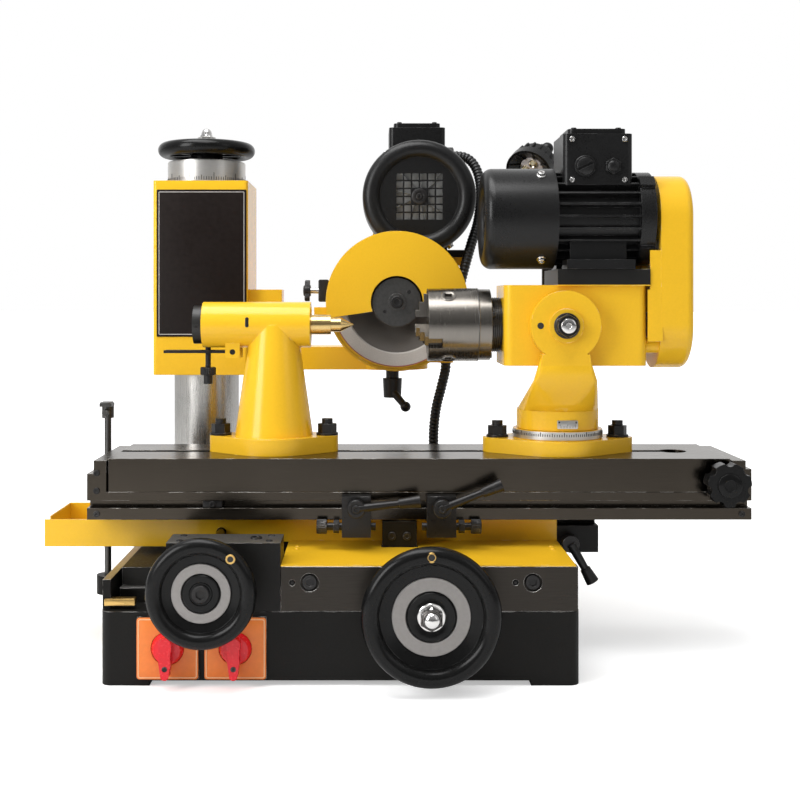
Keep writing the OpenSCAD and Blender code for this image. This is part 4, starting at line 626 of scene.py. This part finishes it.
# Switch plates on the base's front
knob_boxes = {side: box_mm("switch_knob_" + side) for side in ("left", "right")}
PLATE = 60
PLATE_MID_Z = 37
KNOB_PIN_Z = 22
for side, (low, high) in knob_boxes.items():
    plate_seat = seat(((low.x + high.x) / 2, base_low.y, PLATE_MID_Z))
    knob_r = (high.x - low.x) / 2
    skin = Piece().stack(plate_seat, [
        (rounded(PLATE, PLATE, 3), 0), (rounded(PLATE, PLATE, 3), 0.7),
        (rounded(PLATE - 0.8, PLATE - 0.8, 2.6), 1.0),
        (square_round_ring(knob_r + 0.3), 1.0), (square_round_ring(knob_r + 0.3), 0)], loop=True)
    skin.make("switch_plate_" + side, orange_plate, "base", "red_plastic")
    Piece().frame_strip(plate_seat, PLATE - 2.4, PLATE - 2.4, 1.1, 0.9, 1.15).make(
        "switch_border_" + side, pale_line, "base", "red_plastic")
    knob_seat = seat(((low.x + high.x) / 2, low.y, KNOB_PIN_Z))
    Piece().turned(knob_seat, [(2.6, -0.5), (2.6, 0.25), (1.9, 0.3), (1.7, 0.1), (0.1, 0.1)], 24).make(
        "switch_pin_" + side, black_oxide_and_hole_shade, "switch_" + side, "black_metal")

# Bare black plate on the box, with its thin border
box_low, box_high = box_mm("sleeve_box")
PLATE_W = 108
PLATE_H = 177
PLATE_EDGE = 1.5
BOX_MID_Z = 420.5
plate_seat = seat((box_high.x - PLATE_EDGE - PLATE_W / 2, box_low.y, BOX_MID_Z))
Piece().slab(plate_seat, PLATE_W, PLATE_H, 1.5, -0.5, 1.0, 0.4).make(
    "box_plate", plate_black, "lift", "black_metal")
Piece().frame_strip(plate_seat, PLATE_W - 5, PLATE_H - 5, 0.9, 0.8, 1.12, 1.2).make(
    "box_plate_line", silver_line, "lift", "machined_steel")

# Graduated drums: the workhead's degree ring and the lift's dial
DEGREE_RING_Z = 226
degree_seat = seat((WORK_X, 0, DEGREE_RING_Z), UP)
Piece().ring(degree_seat, 48.0, 48.9, 0.6, 9.6, 0.3, 96).make(
    "degree_ring", ring_silver, "workhead_base", "machined_steel")
Piece().ticks(degree_seat, 48.6, 0.55, 3.0, 4.6, (7.2, 8.2, 9.2), 0.8).make(
    "degree_marks", ink_and_hole_shade, "workhead_base", "black_metal")
column_axis = middle_mm("column")
dial_seat = seat((column_axis.x, column_axis.y, box_high.z), UP)
Piece().ring(dial_seat, 47.0, 48.1, 1.0, 26.4, 0.5, 96).make("lift_dial", ring_silver, "lift", "machined_steel")
Piece().ticks(dial_seat, 47.8, 0.55, 3.6, 2.0, (6.0, 8.0, 11.0), 0.7).make(
    "lift_marks", ink_and_hole_shade, "lift", "black_metal")

# Motors: cowl screws, grille screws and fans
GRILLE_DEPTH = 6
FAN_DEPTH = 13


def motor_trim(prefix, body, axis, along, cowl_r, screw_at):
    """Radial screws round a fan cowl and the screw at the middle of its grille."""
    side = Vector(UP).cross(Vector(along))
    screws = Piece()
    for turn in (55, 125, 235, 305):
        x, z = polar(1, math.radians(turn))
        out = side * x + Vector(UP) * z
        spot = seat(Vector(axis) + Vector(along) * screw_at + out * (cowl_r - 0.3), out)
        screws.turned(spot, [(5.2, 0), (5.2, 0.9), (4.6, 1.3), (3.6, 1.3)], 24)
        screws.socket_screw(spot, 4.0, 4.4)
    screws.make(prefix + "_cowl_screws", chrome, body, "machined_steel")
    spot = seat(Vector(axis) + Vector(along) * GRILLE_DEPTH, -Vector(along))
    hub = Piece().turned(spot, [(9.5, -0.4), (9.5, 0.5), (8.8, 1.0), (5.2, 1.1), (5.0, 0.6), (4.6, 0.6)], 32)
    hub.socket_screw(spot, 3.6, 2.2)
    hub.make(prefix + "_grille_screw", black_oxide_and_hole_shade, body, "black_metal")


def fan(prefix, body, axis, along, reach, hub_end):
    """A ribbed fan wheel close behind a grille, with its hub on the rotor's shaft."""
    spot = seat(Vector(axis) + Vector(along) * FAN_DEPTH, -Vector(along))
    wheel = Piece().turned(spot, [(9, FAN_DEPTH - hub_end), (9, -1.6), (reach, -1.6), (reach, 0), (10, 0), (9, 1.6),
                                  (4, 1.6)])
    blade = ((-0.9, -0.2), (0.9, -0.2), (0.6, 2.4), (-0.6, 2.4))
    for k in range(9):
        turn = spun(spot, 40 * k)
        wheel.loft([[turn @ Vector((r, y + lean, h)) for y, h in blade]
                    for r, lean in ((9.5, 0), (reach * 0.6, 2), (reach - 1, 6))])
    wheel.make(prefix + "_fan", fan_plastic, body, "black_plastic")


work_motor_low, work_motor_high = box_mm("work_motor")
wheel_motor_low, wheel_motor_high = box_mm("wheel_motor")
work_cowl = (work_motor_low.x, 0, WORK_MOTOR_Z)
wheel_cowl = (WHEEL_MOTOR[0], wheel_motor_low.y, WHEEL_MOTOR[1])
motor_trim("work_motor", "workhead", work_cowl, RIGHT, cowl_r=55, screw_at=62)
motor_trim("wheel_motor", "wheelhead", wheel_cowl, BACK, cowl_r=68, screw_at=54)
fan("wheel_motor", "wheel_rotor", wheel_cowl, BACK, reach=42, hub_end=32)
fan("work_motor", "work_rotor", work_cowl, RIGHT, reach=36, hub_end=42)

# Terminal boxes: corner screws, slotted plug, blind gland and lid screws
TERMINAL_Y = -38
TERMINAL_SCREWS_X, TERMINAL_SCREWS_Z = (245, 301), (504.5, 548)
PLUG_X, GLAND_X, PLUG_Z = 258.7, 288.6, 519
LID_SCREWS = ((249, 297), (-24, 24))
WHEEL_LID_SCREWS = ((WHEEL_MOTOR[0] - 22, WHEEL_MOTOR[0] + 22), (190, 238))
Piece().socket_screws(product(TERMINAL_SCREWS_X, [TERMINAL_Y], TERMINAL_SCREWS_Z), FRONT, 2.9, 1.8).make(
    "terminal_screws", chrome, "workhead", "machined_steel")
plug_seat = seat((PLUG_X, TERMINAL_Y, PLUG_Z), FRONT, 25)
plug = Piece().turned(plug_seat, [(11.6, -0.4), (11.6, 2.2), (10.6, 3.2), (8.6, 3.2)], 40)
plug.slot_screw(plug_seat, 9.0, 5.2)
plug_seat = seat((GLAND_X, TERMINAL_Y, PLUG_Z))
plug.stack(plug_seat, [(polygon_ring(9.2, 6), -0.4), (polygon_ring(9.2, 6), 2.6), (circle(7.6), 3.4)])
plug.dome(plug_seat @ Matrix.Translation((0, 0, 3.2)), 5.8, 2.2)
plug.make("terminal_plugs", motor_black, "workhead", "black_metal")
for name, spots, top, body in (("terminal_lid_screws", LID_SCREWS, work_motor_high.z, "workhead"),
                               ("wheel_lid_screws", WHEEL_LID_SCREWS, wheel_motor_high.z, "wheelhead")):
    Piece().socket_screws(product(*spots, [top]), UP, 3.0, 2.0).make(name, black_oxide_and_hole_shade, body, "black_metal")

# Conduit nuts at the motor's gland and the base
NUT_BORE_R = 7.0


def gland_nut(name, body, end, out, rise, corner, height, edge, face_r):
    """The hexagon nut round a conduit's end, which stands rise beyond that end."""
    Piece().stack(seat(Vector(end) + Vector(out) * rise, out), [
        (polygon_ring(corner, 6), -height), (polygon_ring(corner, 6), -edge), (circle(face_r), 0),
        (circle(NUT_BORE_R), 0), (circle(NUT_BORE_R), -height),
    ], loop=True).make(name, black_oxide_and_hole_shade, body, "black_metal")


gland_nut("motor_gland_nut", "wheelhead", upper_route[0], RIGHT, rise=7, corner=10.5, height=9, edge=0.8, face_r=8.8)
gland_nut("base_gland_nut", "base", lower_route[-1], UP, rise=11, corner=13.5, height=14, edge=1, face_r=11.4)

# Lamp: cooling ribs, board, three lens cups and the spokes of its rim
LAMP_BALL = Vector((258, 231, 572))
LAMP_TURN, LAMP_TILT = math.radians(-32), math.radians(122)
LAMP_DEPTH = 56
lamp_axis = Vector((math.sin(LAMP_TILT) * math.sin(LAMP_TURN), -math.sin(LAMP_TILT) * math.cos(LAMP_TURN),
                    math.cos(LAMP_TILT)))
lamp_back = seat(LAMP_BALL, lamp_axis)
ribs = Piece()
for k in range(18):
    spot = spun(lamp_back, 20 * k)
    ribs.loft([[spot @ Vector((r, side * half, h)) for r, side in ((24, -1), (reach, -1), (reach, 1), (24, 1))]
               for h, reach, half in ((38.5, 26.4, 0.8), (40, 28.4, 1.2), (51.5, 29.2, 1.2), (53.5, 28.6, 1.2))])
ribs.make("lamp_ribs", motor_black, "lamp", "black_metal")
lamp_face = seat(LAMP_BALL + lamp_axis * LAMP_DEPTH, lamp_axis)
Piece().turned(lamp_face, [(15.0, -0.6), (15.0, 0.8), (14.4, 1.2), (3, 1.2)]).make(
    "lamp_board", lamp_white, "lamp", "black_metal")
cups, lenses = Piece(), Piece()
for k in range(3):
    spot = spun(lamp_face, 120 * k + 60) @ Matrix.Translation((8.0, 0, 1.2))
    cups.turned(spot, [(5.6, -0.3), (5.6, 2.2), (5.0, 2.4), (2.6, 0.3)], 32)
    lenses.turned(spot, [(2.9, 0.2), (2.9, 1.0), (2.4, 2.2), (1.3, 2.9), (0.1, 3.1)], 24)
cups.make("lamp_cups", reflector, "lamp", "machined_steel")
lenses.make("lamp_lenses", lamp_glass, "lamp", "machined_steel")
spokes = Piece()
for k in range(8):
    spot = spun(lamp_face, 45 * k + 20)
    spokes.loft([[spot @ Vector((r, y, h + lift)) for y, lift in ((-1.1, 0), (1.1, 0), (0.8, 3), (-0.8, 3))]
                 for r, h in ((14.6, 0.4), (20.5, 5.6), (26.4, 10.6))])
spokes.make("lamp_spokes", motor_black, "lamp", "black_metal")

# Wheel: flange screw and spanner holes drawn as black discs of painted shade, guard clamp and its T screw
FLANGE_Y = 67
FLANGE_HUB = 3
SPANNER_R = 18
flange_screw = Piece().socket_screw(seat((wheel_axis.x, FLANGE_Y - FLANGE_HUB, wheel_axis.z)), 7.4, 2.6)
# Flat black discs: painted shade standing for the spanner holes
for turn in (40, 220):
    x, z = polar(SPANNER_R, math.radians(turn))
    spot = seat((wheel_axis.x + x, FLANGE_Y, wheel_axis.z + z))
    flange_screw.turned(spot, [(2.5, -0.3), (2.5, 0.25), (2.0, 0.35), (1.7, 0.1), (0.1, 0.1)], 20)
flange_screw.make("wheel_flange_screw_and_hole_shade", black_oxide_and_hole_shade, "wheel_spindle", "black_metal")
CLAMP = Vector((-25, 80, 387))
Piece().slab(seat(CLAMP), 12, 26, 2, -8, 6, 1.0).make("guard_bracket", black_oxide_and_hole_shade, "wheelhead", "black_metal")
thumb = seat(CLAMP + Vector((-6, -2, 0)), LEFT, 24)
Piece().turned(thumb, [(3.4, -1), (3.4, 9), (4.6, 10), (4.6, 13)], 24).make(
    "guard_clamp_stem", chrome, "wheelhead", "machined_steel")
thumb_end = thumb @ Matrix.Translation((0, 0, 12))
wing = Piece().slab(thumb_end, 8, 26, 3.5, -2, 4, 1.4)
wing.turned(thumb_end, [(6.2, -3), (6.6, -2), (6.6, 4), (5.4, 5.4), (2.4, 5.8)], 28)
wing.make("guard_thumb_screw", black_oxide_and_hole_shade, "wheelhead", "black_metal")

# Chuck: key sockets, joint line and the screws of its back plate
CHUCK_FACE_R = 39.2
KEY_TURN, SCREW_TURN = 37, 40
KEY_BACK, JOINT_BACK = 22, 14
chuck_low, chuck_high = box_mm("chuck")
sockets = Piece()
for k in range(3):
    a = math.radians(120 * k + KEY_TURN)
    out = Vector((0, -math.sin(a), math.cos(a)))
    spot = seat(Vector((chuck_low.x + KEY_BACK, 0, AXIS_Z)) + out * CHUCK_FACE_R, out)
    sockets.stack(spot, [(circle(8.8, 32), -2), (circle(8.8, 32), 0.5), (circle(8.2, 32), 1.0),
                         (circle(6.0, 32), 1.0), (polygon_ring(5.4, 4, 32), 0.4), (polygon_ring(5.4, 4, 32), -7)])
sockets.make("chuck_key_sockets", turned_steel, "work_spindle", "machined_steel")
joint_seat = seat((chuck_high.x - JOINT_BACK, 0, AXIS_Z), RIGHT)
Piece().ring(joint_seat, 38.5, 40.15, -0.5, 0.5, 0.1, 96).make(
    "chuck_joint", dark_steel, "work_spindle", "dark_steel")
nose = Piece()
nose_seat = seat((chuck_high.x, 0, AXIS_Z), RIGHT)
for k in range(3):
    nose.socket_screw(spun(nose_seat, 120 * k + SCREW_TURN) @ Matrix.Translation((34, 0, 0)), 3.6, 3.4)
for k in range(5):
    nose.ring(nose_seat, 28.6, 29.9, 1.2 + 2.1 * k, 2.5 + 2.1 * k, 0.4, 72)
nose.make("chuck_nose_thread", black_oxide_and_hole_shade, "work_spindle", "dark_steel")

# Workhead: trunnion nut, pin hole drawn as a black disc of painted shade, and vernier plate
HUB_RISE = 3
PIN_OFFSET = 27
VERNIER = (WORK_X + 4, -44.9, 243.5)
trunnion = seat((WORK_X, post_low.y - 0.4, AXIS_Z))
nut = Piece().turned(trunnion, [(13.6, 0), (13.6, 1.6), (12.8, 2.2), (8.2, 2.2)])
nut.hex_nut(trunnion @ Matrix.Translation((0, 0, 2.2)), 12.6, 8.0, 8.0)
nut.make("trunnion_nut", black_oxide_and_hole_shade, "workhead", "black_metal")
stud_end = seat((WORK_X, head_low.y, AXIS_Z))
Piece().turned(stud_end, [(7.9, -0.5), (7.7, 0.6), (6.4, 1.4), (3.0, 1.4), (2.6, 0.6), (0.1, 0.6)], 32).make(
    "trunnion_stud_end", chrome, "workhead", "machined_steel")
pin = seat((WORK_X - PIN_OFFSET, post_low.y + HUB_RISE, AXIS_Z))
# Flat black disc: painted shade standing for the pin hole
Piece().turned(pin, [(3.4, -0.4), (3.4, 0.3), (3.0, 0.4), (2.8, 0.1), (0.1, 0.1)], 24).make(
    "trunnion_pin_hole_shade", ink_and_hole_shade, "workhead_post", "black_metal")
vernier = seat(VERNIER)
Piece().slab(vernier, 22, 9, 1.2, -3, 0.6, 0.3).make(
    "vernier_plate", ring_silver, "workhead_post", "machined_steel")
vernier_marks = Piece()
for k in range(11):
    longer = 0.0 if k % 5 else 1.6
    vernier_marks.slab(vernier @ Matrix.Translation((-8 + 1.6 * k, -2.6 + longer / 2, 0)), 0.45, 2.6 + longer, 0.2,
                       0.4, 0.72, 0.05)
for x in (-9, 9):
    vernier_marks.dome(vernier @ Matrix.Translation((x, 2.4, 0.5)), 1.1, 0.5)
vernier_marks.make("vernier_marks", ink_and_hole_shade, "workhead_post", "black_metal")

# The post's smooth taper, from its round collar up into the trunnion boss
COLLAR_TOP_Z, CHEEK_Z, BOSS_FOOT_Z = 256.3, 290.3, 314
TUCK_Z, TUCK_SLOPE = 306, 0.25
# Half width, front, rear and corner radius, each at the taper's foot and at its narrow end
TAPER_HALF = (44, 26)
TAPER_FRONT = (-43.4, -61.75)
TAPER_REAR = (42, -45.6)
TAPER_CORNER = (41.8, 5)


def part_way(ends, share):
    return ends[0] + (ends[1] - ends[0]) * share


def post_outline(z):
    """The taper's outline at a height: round at the collar, flat and narrow at the cheek."""
    rise = z - COLLAR_TOP_Z
    lean = min(rise / (CHEEK_Z - COLLAR_TOP_Z), 1)
    half = part_way(TAPER_HALF, rise / (BOSS_FOOT_Z - COLLAR_TOP_Z))
    front = part_way(TAPER_FRONT, lean) + TUCK_SLOPE * max(z - TUCK_Z, 0)
    rear = part_way(TAPER_REAR, lean)
    outline = rounded(2 * half, rear - front, part_way(TAPER_CORNER, lean))
    return [Vector((WORK_X + x, (front + rear) / 2 + y, z)) for x, y in outline]


Piece().loft([post_outline(z) for z in (256.6, 266, 278, 291, 305, 312, 322)]).make(
    "post_taper", yellow, "workhead_post", "yellow_paint", smooth=60)

# The belt guard's sheet flanges, which reach the headstock below the motor
FLANGE_LOW, FLANGE_HIGH = AXIS_Z - 17, AXIS_Z + 80
FLANGE_STEP = MOTOR_PLATE_Z - 5
FLANGE_T = 1.8
FLUSH = 0.05
guard_low, guard_high = box_mm("work_belt_guard")
plate_end, head_end, flange_end = head_high.x + 0.4, head_high.x - 2.2, work_motor_high.x + 3
flange_outline = [
    (head_end, FLANGE_LOW), (flange_end, FLANGE_LOW), (flange_end, FLANGE_HIGH), (plate_end, FLANGE_HIGH),
    (plate_end, FLANGE_STEP), (head_end, FLANGE_STEP),
]
flanges = Piece()
for rear_y in (guard_low.y + FLANGE_T, guard_high.y - FLUSH):
    flanges.loft([[Vector((x, y, z)) for x, z in flange_outline] for y in (rear_y, rear_y - FLANGE_T + FLUSH)])
flanges.make("belt_guard_flanges", yellow, "workhead", "yellow_paint")

# Saddle: screws and pins of the apron, the cover's rivets, screws of the gearbox and the stop anvil
APRON_SCREWS_X, APRON_SCREW_Z = (-30, 188), 100.3
PIN_ASIDE = 17
RIVETS = ((-47, 219), (-74, -62), [117.5])
GEAR_TOP_SCREWS = ((-158, -70), (-140, -114), [139])
OILER = (-84, -127, 139)
ANVIL_SCREWS = ((52, 67.7), [-64], [129])
apron_low = box_mm("apron")[0]
fasteners = Piece()
for x in APRON_SCREWS_X:
    fasteners.socket_screw(seat((x, apron_low.y + 4, APRON_SCREW_Z)), 7.6, 3.6)
    fasteners.dome(seat((x - PIN_ASIDE, apron_low.y + 2, APRON_SCREW_Z)), 2.8, 1.6)
fasteners.make("apron_screws", black_oxide_and_hole_shade, "saddle", "dark_steel")
rivets = Piece()
for spot in product(*RIVETS):
    rivets.dome(seat(spot, UP), 2.6, 1.3)
rivets.make("cover_rivets", yellow, "saddle", "yellow_paint")
box_screws = Piece().socket_screws(product(*GEAR_TOP_SCREWS), UP, 3.6, 0.9, 0.9)
box_screws.turned(seat(OILER, UP), [(6.0, -0.2), (6.0, 1.2), (5.2, 1.8), (3.4, 1.8), (3.2, 0.4), (0.1, 0.4)], 32)
box_screws.make("gearbox_screws", black_oxide_and_hole_shade, "saddle", "black_metal")
Piece().socket_screws(product(*ANVIL_SCREWS), FRONT, 4.4, 1.6).make(
    "anvil_screws", black_oxide_and_hole_shade, "saddle", "black_metal")

# Table: T-nut in the front groove, bracket screws, stop nuts and knurled heads
GROOVE_Z = 162.3
GROOVE_NUT_X = -136
BRACKET_INSET, BRACKET_ROWS_Z = 10, (152.3, 176.5, 195)
END_SCREWS_Y, END_SCREWS_Z = (-42, 42), 153
STOP_SCREW_Y, STOP_SCREW_Z = -74.3, 141
STOP_LEVER_Y = -95.6
table_low, table_high = box_mm("lower_table")
t_nut = Piece().slab(seat((GROOVE_NUT_X, table_low.y + 3, GROOVE_Z)), 20, 7.4, 1.2, -6, 1.8, 0.5)
t_nut.socket_screw(seat((GROOVE_NUT_X, table_low.y + 1.2, GROOVE_Z)), 3.2, 2.0)
t_nut.make("groove_nut", black_oxide_and_hole_shade, "table", "dark_steel")
bracket_x = (table_low.x + BRACKET_INSET, table_high.x - BRACKET_INSET)
bracket = Piece().socket_screws(product(bracket_x, [table_low.y], BRACKET_ROWS_Z), FRONT, 3.4, 1.4)
for x, out in ((table_low.x, LEFT), (table_high.x, RIGHT)):
    bracket.socket_screws(product([x], END_SCREWS_Y, [END_SCREWS_Z]), out, 4.6, 2.6)
bracket.make("bracket_screws", black_oxide_and_hole_shade, "table", "dark_steel")


KNURL_DEPTH = 0.55


def knurl(piece, place, r, low, high, teeth=28):
    """A straight-knurled drum."""
    outline = [polar(r - k % 2 * KNURL_DEPTH, math.pi * k / teeth) for k in range(teeth * 2)]
    inner = [(x * 0.9, y * 0.9) for x, y in outline]
    piece.stack(place, [(inner, low), (outline, low + 0.7), (outline, high - 0.7), (inner, high)])


STOP_SCREWS = (("left", -26, 1), ("right", 144, -1))
STOP_LEVERS = (("left", 15), ("right", 103))
for name, x, sign in STOP_SCREWS:
    head = Piece()
    knurl(head, seat((x, STOP_SCREW_Y, STOP_SCREW_Z), (sign, 0, 0)), 7.6, -0.4, 10.4)
    head.make("stop_knurl_" + name, black_oxide_and_hole_shade, "stop_" + name, "dark_steel")
for name, x in STOP_LEVERS:
    hub_spot = seat((x, STOP_LEVER_Y, GROOVE_Z))
    hub = Piece().turned(hub_spot, [(9.4, -2.5), (9.4, -0.4), (8.6, 0.5), (5.4, 0.5), (5.0, -0.4)], 32)
    hub.socket_screw(hub_spot, 4.2, 1.4)
    hub.make("stop_hub_" + name, black_oxide_and_hole_shade, "stop_%s_lever" % name, "dark_steel")
knob_axis = middle_mm("star_knob")
knob_spot = seat((knob_axis.x, box_mm("star_knob")[0].y, knob_axis.z))
Piece().turned(knob_spot, [(13, -0.5), (12.4, 1.6), (10.5, 2.6), (6.2, 2.9), (5.8, 2.2), (0.1, 2.0)]).make(
    "star_knob_cap", gloss_black, "table_knob", "black_plastic")

# Tailstock: end-ring hole drawn as a black disc of painted shade, key slot, thumb screw's knurl
TAIL_RING_HOLE = (barrel_low.x - 5, -20.9, AXIS_Z - 2)
TAIL_SCREW = (-149, 0, 294)
KEY_SLOT = (-104, -24.4, AXIS_Z + 3)
KEY_SLOT_FACE = (0, -1, 0.12)
tail_ring = seat(TAIL_RING_HOLE)
# Flat black disc: painted shade standing for the end ring's hole
Piece().turned(tail_ring, [(2.4, -0.6), (2.4, 0.3), (2.0, 0.4), (1.7, 0.1), (0.1, 0.1)], 20).make(
    "tail_ring_hole_shade", black_oxide_and_hole_shade, "quill", "black_metal")
thumb_head = Piece()
knurl(thumb_head, seat(TAIL_SCREW, UP), 8.6, -0.3, 8.3, 24)
thumb_head.make("tail_thumb_knurl", black_oxide_and_hole_shade, "clamp_screw", "black_metal")
slot_plate = Piece().slab(seat(KEY_SLOT, KEY_SLOT_FACE), 4.0, 11, 1.9, -2, 0.5, 0.3)
slot_plate.make("tail_key_slot", black_oxide_and_hole_shade, "tailstock", "black_metal")

# Tooth rest: collar screw and blade; base: gib strip with brass screws
REST_X, REST_Y = -281, 93
GIB_X, GIB_Z = -217, 79
GIB_SCREWS_X, GIB_SCREW_Z = (-228, -206), 66
rest_top = box_mm("rest_rod")[1].z
rest = Piece()
knurl(rest, seat((REST_X, REST_Y, rest_top - 11)), 4.2, -1, 9, 18)
rest.slab(seat((REST_X, REST_Y - 1, rest_top), UP), 12, 20, 1.6, -0.2, 1.4, 0.4)
rest.make("rest_clamp", dark_steel, "tooth_rest", "dark_steel")
gib = Piece().slab(seat((GIB_X, base_low.y + 12, GIB_Z)), 30, 7, 0.8, -8, 1.5, 0.4)
for x in GIB_SCREWS_X:
    gib.slot_screw(seat((x, base_low.y + 9.5, GIB_SCREW_Z)), 3.6, 2.4)
gib.make("gib_strip", brass, "base", "bronze")

# Camera at the photograph's place: level, with the frame shifted instead of tilted
IMAGE = 800
FOCAL_PX = 1200
VANISH = (370, 301)
SENSOR = 36
CAMERA_PLACE = (0.029, -1.320, 0.375)
camera_data = bpy.data.cameras.new("camera")
camera_data.sensor_width = SENSOR
camera_data.lens = SENSOR * FOCAL_PX / IMAGE
camera_data.shift_x = (IMAGE / 2 - VANISH[0]) / IMAGE
camera_data.shift_y = (VANISH[1] - IMAGE / 2) / IMAGE
camera = linked("camera", camera_data)
camera.location = CAMERA_PLACE
camera.rotation_euler = (math.radians(90), 0, 0)
bpy.context.scene.camera = camera

# Studio: a white surround for the camera and for mirrored rays, and a room that is darker in front than behind
world = bpy.data.worlds.new("studio")
bpy.context.scene.world = world
world.use_nodes = True
studio = NodeTree(world.node_tree)
direction = studio.add("TexCoord").outputs["Generated"]
depth, height = studio.along(direction, "y"), studio.along(direction, "z")
room_light = studio.math("ADD", studio.remap(depth, -1.0, 0.7, 0.06, 0.5), studio.remap(height, -0.1, 0.9, 0.0, 0.3))
ray = studio.add("LightPath").outputs
mirrored = studio.math("MAXIMUM", ray["Is Glossy Ray"], ray["Is Transmission Ray"])
mirrored = studio.math("MULTIPLY", mirrored, studio.remap(depth, 0.45, 0.85))
shown = studio.math("MAXIMUM", ray["Is Camera Ray"], mirrored)
background = studio.tree.nodes["Background"]
studio.put(background.inputs["Strength"], studio.mix(shown, room_light, 1.0))
background.inputs["Color"].default_value = (1.0, 1.0, 1.0, 1.0)


def area_light(name, place, target, size, power):
    lamp = bpy.data.lights.new(name, "AREA")
    lamp.shape = "RECTANGLE"
    lamp.size, lamp.size_y = size
    lamp.energy = power
    lamp_object = linked(name, lamp)
    lamp_object.location = place
    lamp_object.rotation_euler = (Vector(target) - Vector(place)).to_track_quat("-Z", "Y").to_euler()


# Soft lights: place and target in metres, size, power in watts
area_light("overhead", (-0.35, -0.35, 2.2), (0.05, 0.05, 0.3), (1.8, 1.1), 37)
area_light("front_left", (-1.3, -1.05, 0.95), (0.0, 0.0, 0.3), (0.7, 1.2), 19)
area_light("front_right", (1.8, -1.3, 1.3), (0.1, 0.0, 0.3), (0.8, 1.4), 2.5)

# Pale floor, which the camera sees fade into white: (distance in metres, glow) near and far
FLOOR_HALF = 40.0
GLOW_NEAR, GLOW_FAR = (0.6, 0.44), (2.2, 0.9)
floor_mesh = bpy.data.meshes.new("floor")
floor_mesh.from_pydata([(FLOOR_HALF * x, FLOOR_HALF * y, 0) for x, y in ((-1, -1), (1, -1), (1, 1), (-1, 1))], [],
                       [(0, 1, 2, 3)])
floor = linked("floor", floor_mesh)
ground = Graph("pale_floor")
speckle = ground.noise(30.0, 3.0)
ground.put(ground.shader.inputs["Base Color"], ground.mix(speckle, (0.84, 0.84, 0.84), (0.88, 0.88, 0.88)))
ground.shader.inputs["Roughness"].default_value = 0.7
seen = ground.add("LightPath").outputs["Is Camera Ray"]
ground.shader.inputs["Emission Color"].default_value = (1.0, 1.0, 1.0, 1.0)
away = ground.add("VectorMath", {0: ground.place}, operation="LENGTH").outputs["Value"]
glow = ground.remap(away, GLOW_NEAR[0], GLOW_FAR[0], GLOW_NEAR[1], GLOW_FAR[1])
ground.put(ground.shader.inputs["Emission Strength"], ground.math("MULTIPLY", seen, glow))
floor_mesh.materials.append(ground.material)

bpy.context.scene.view_settings.view_transform = "Standard"
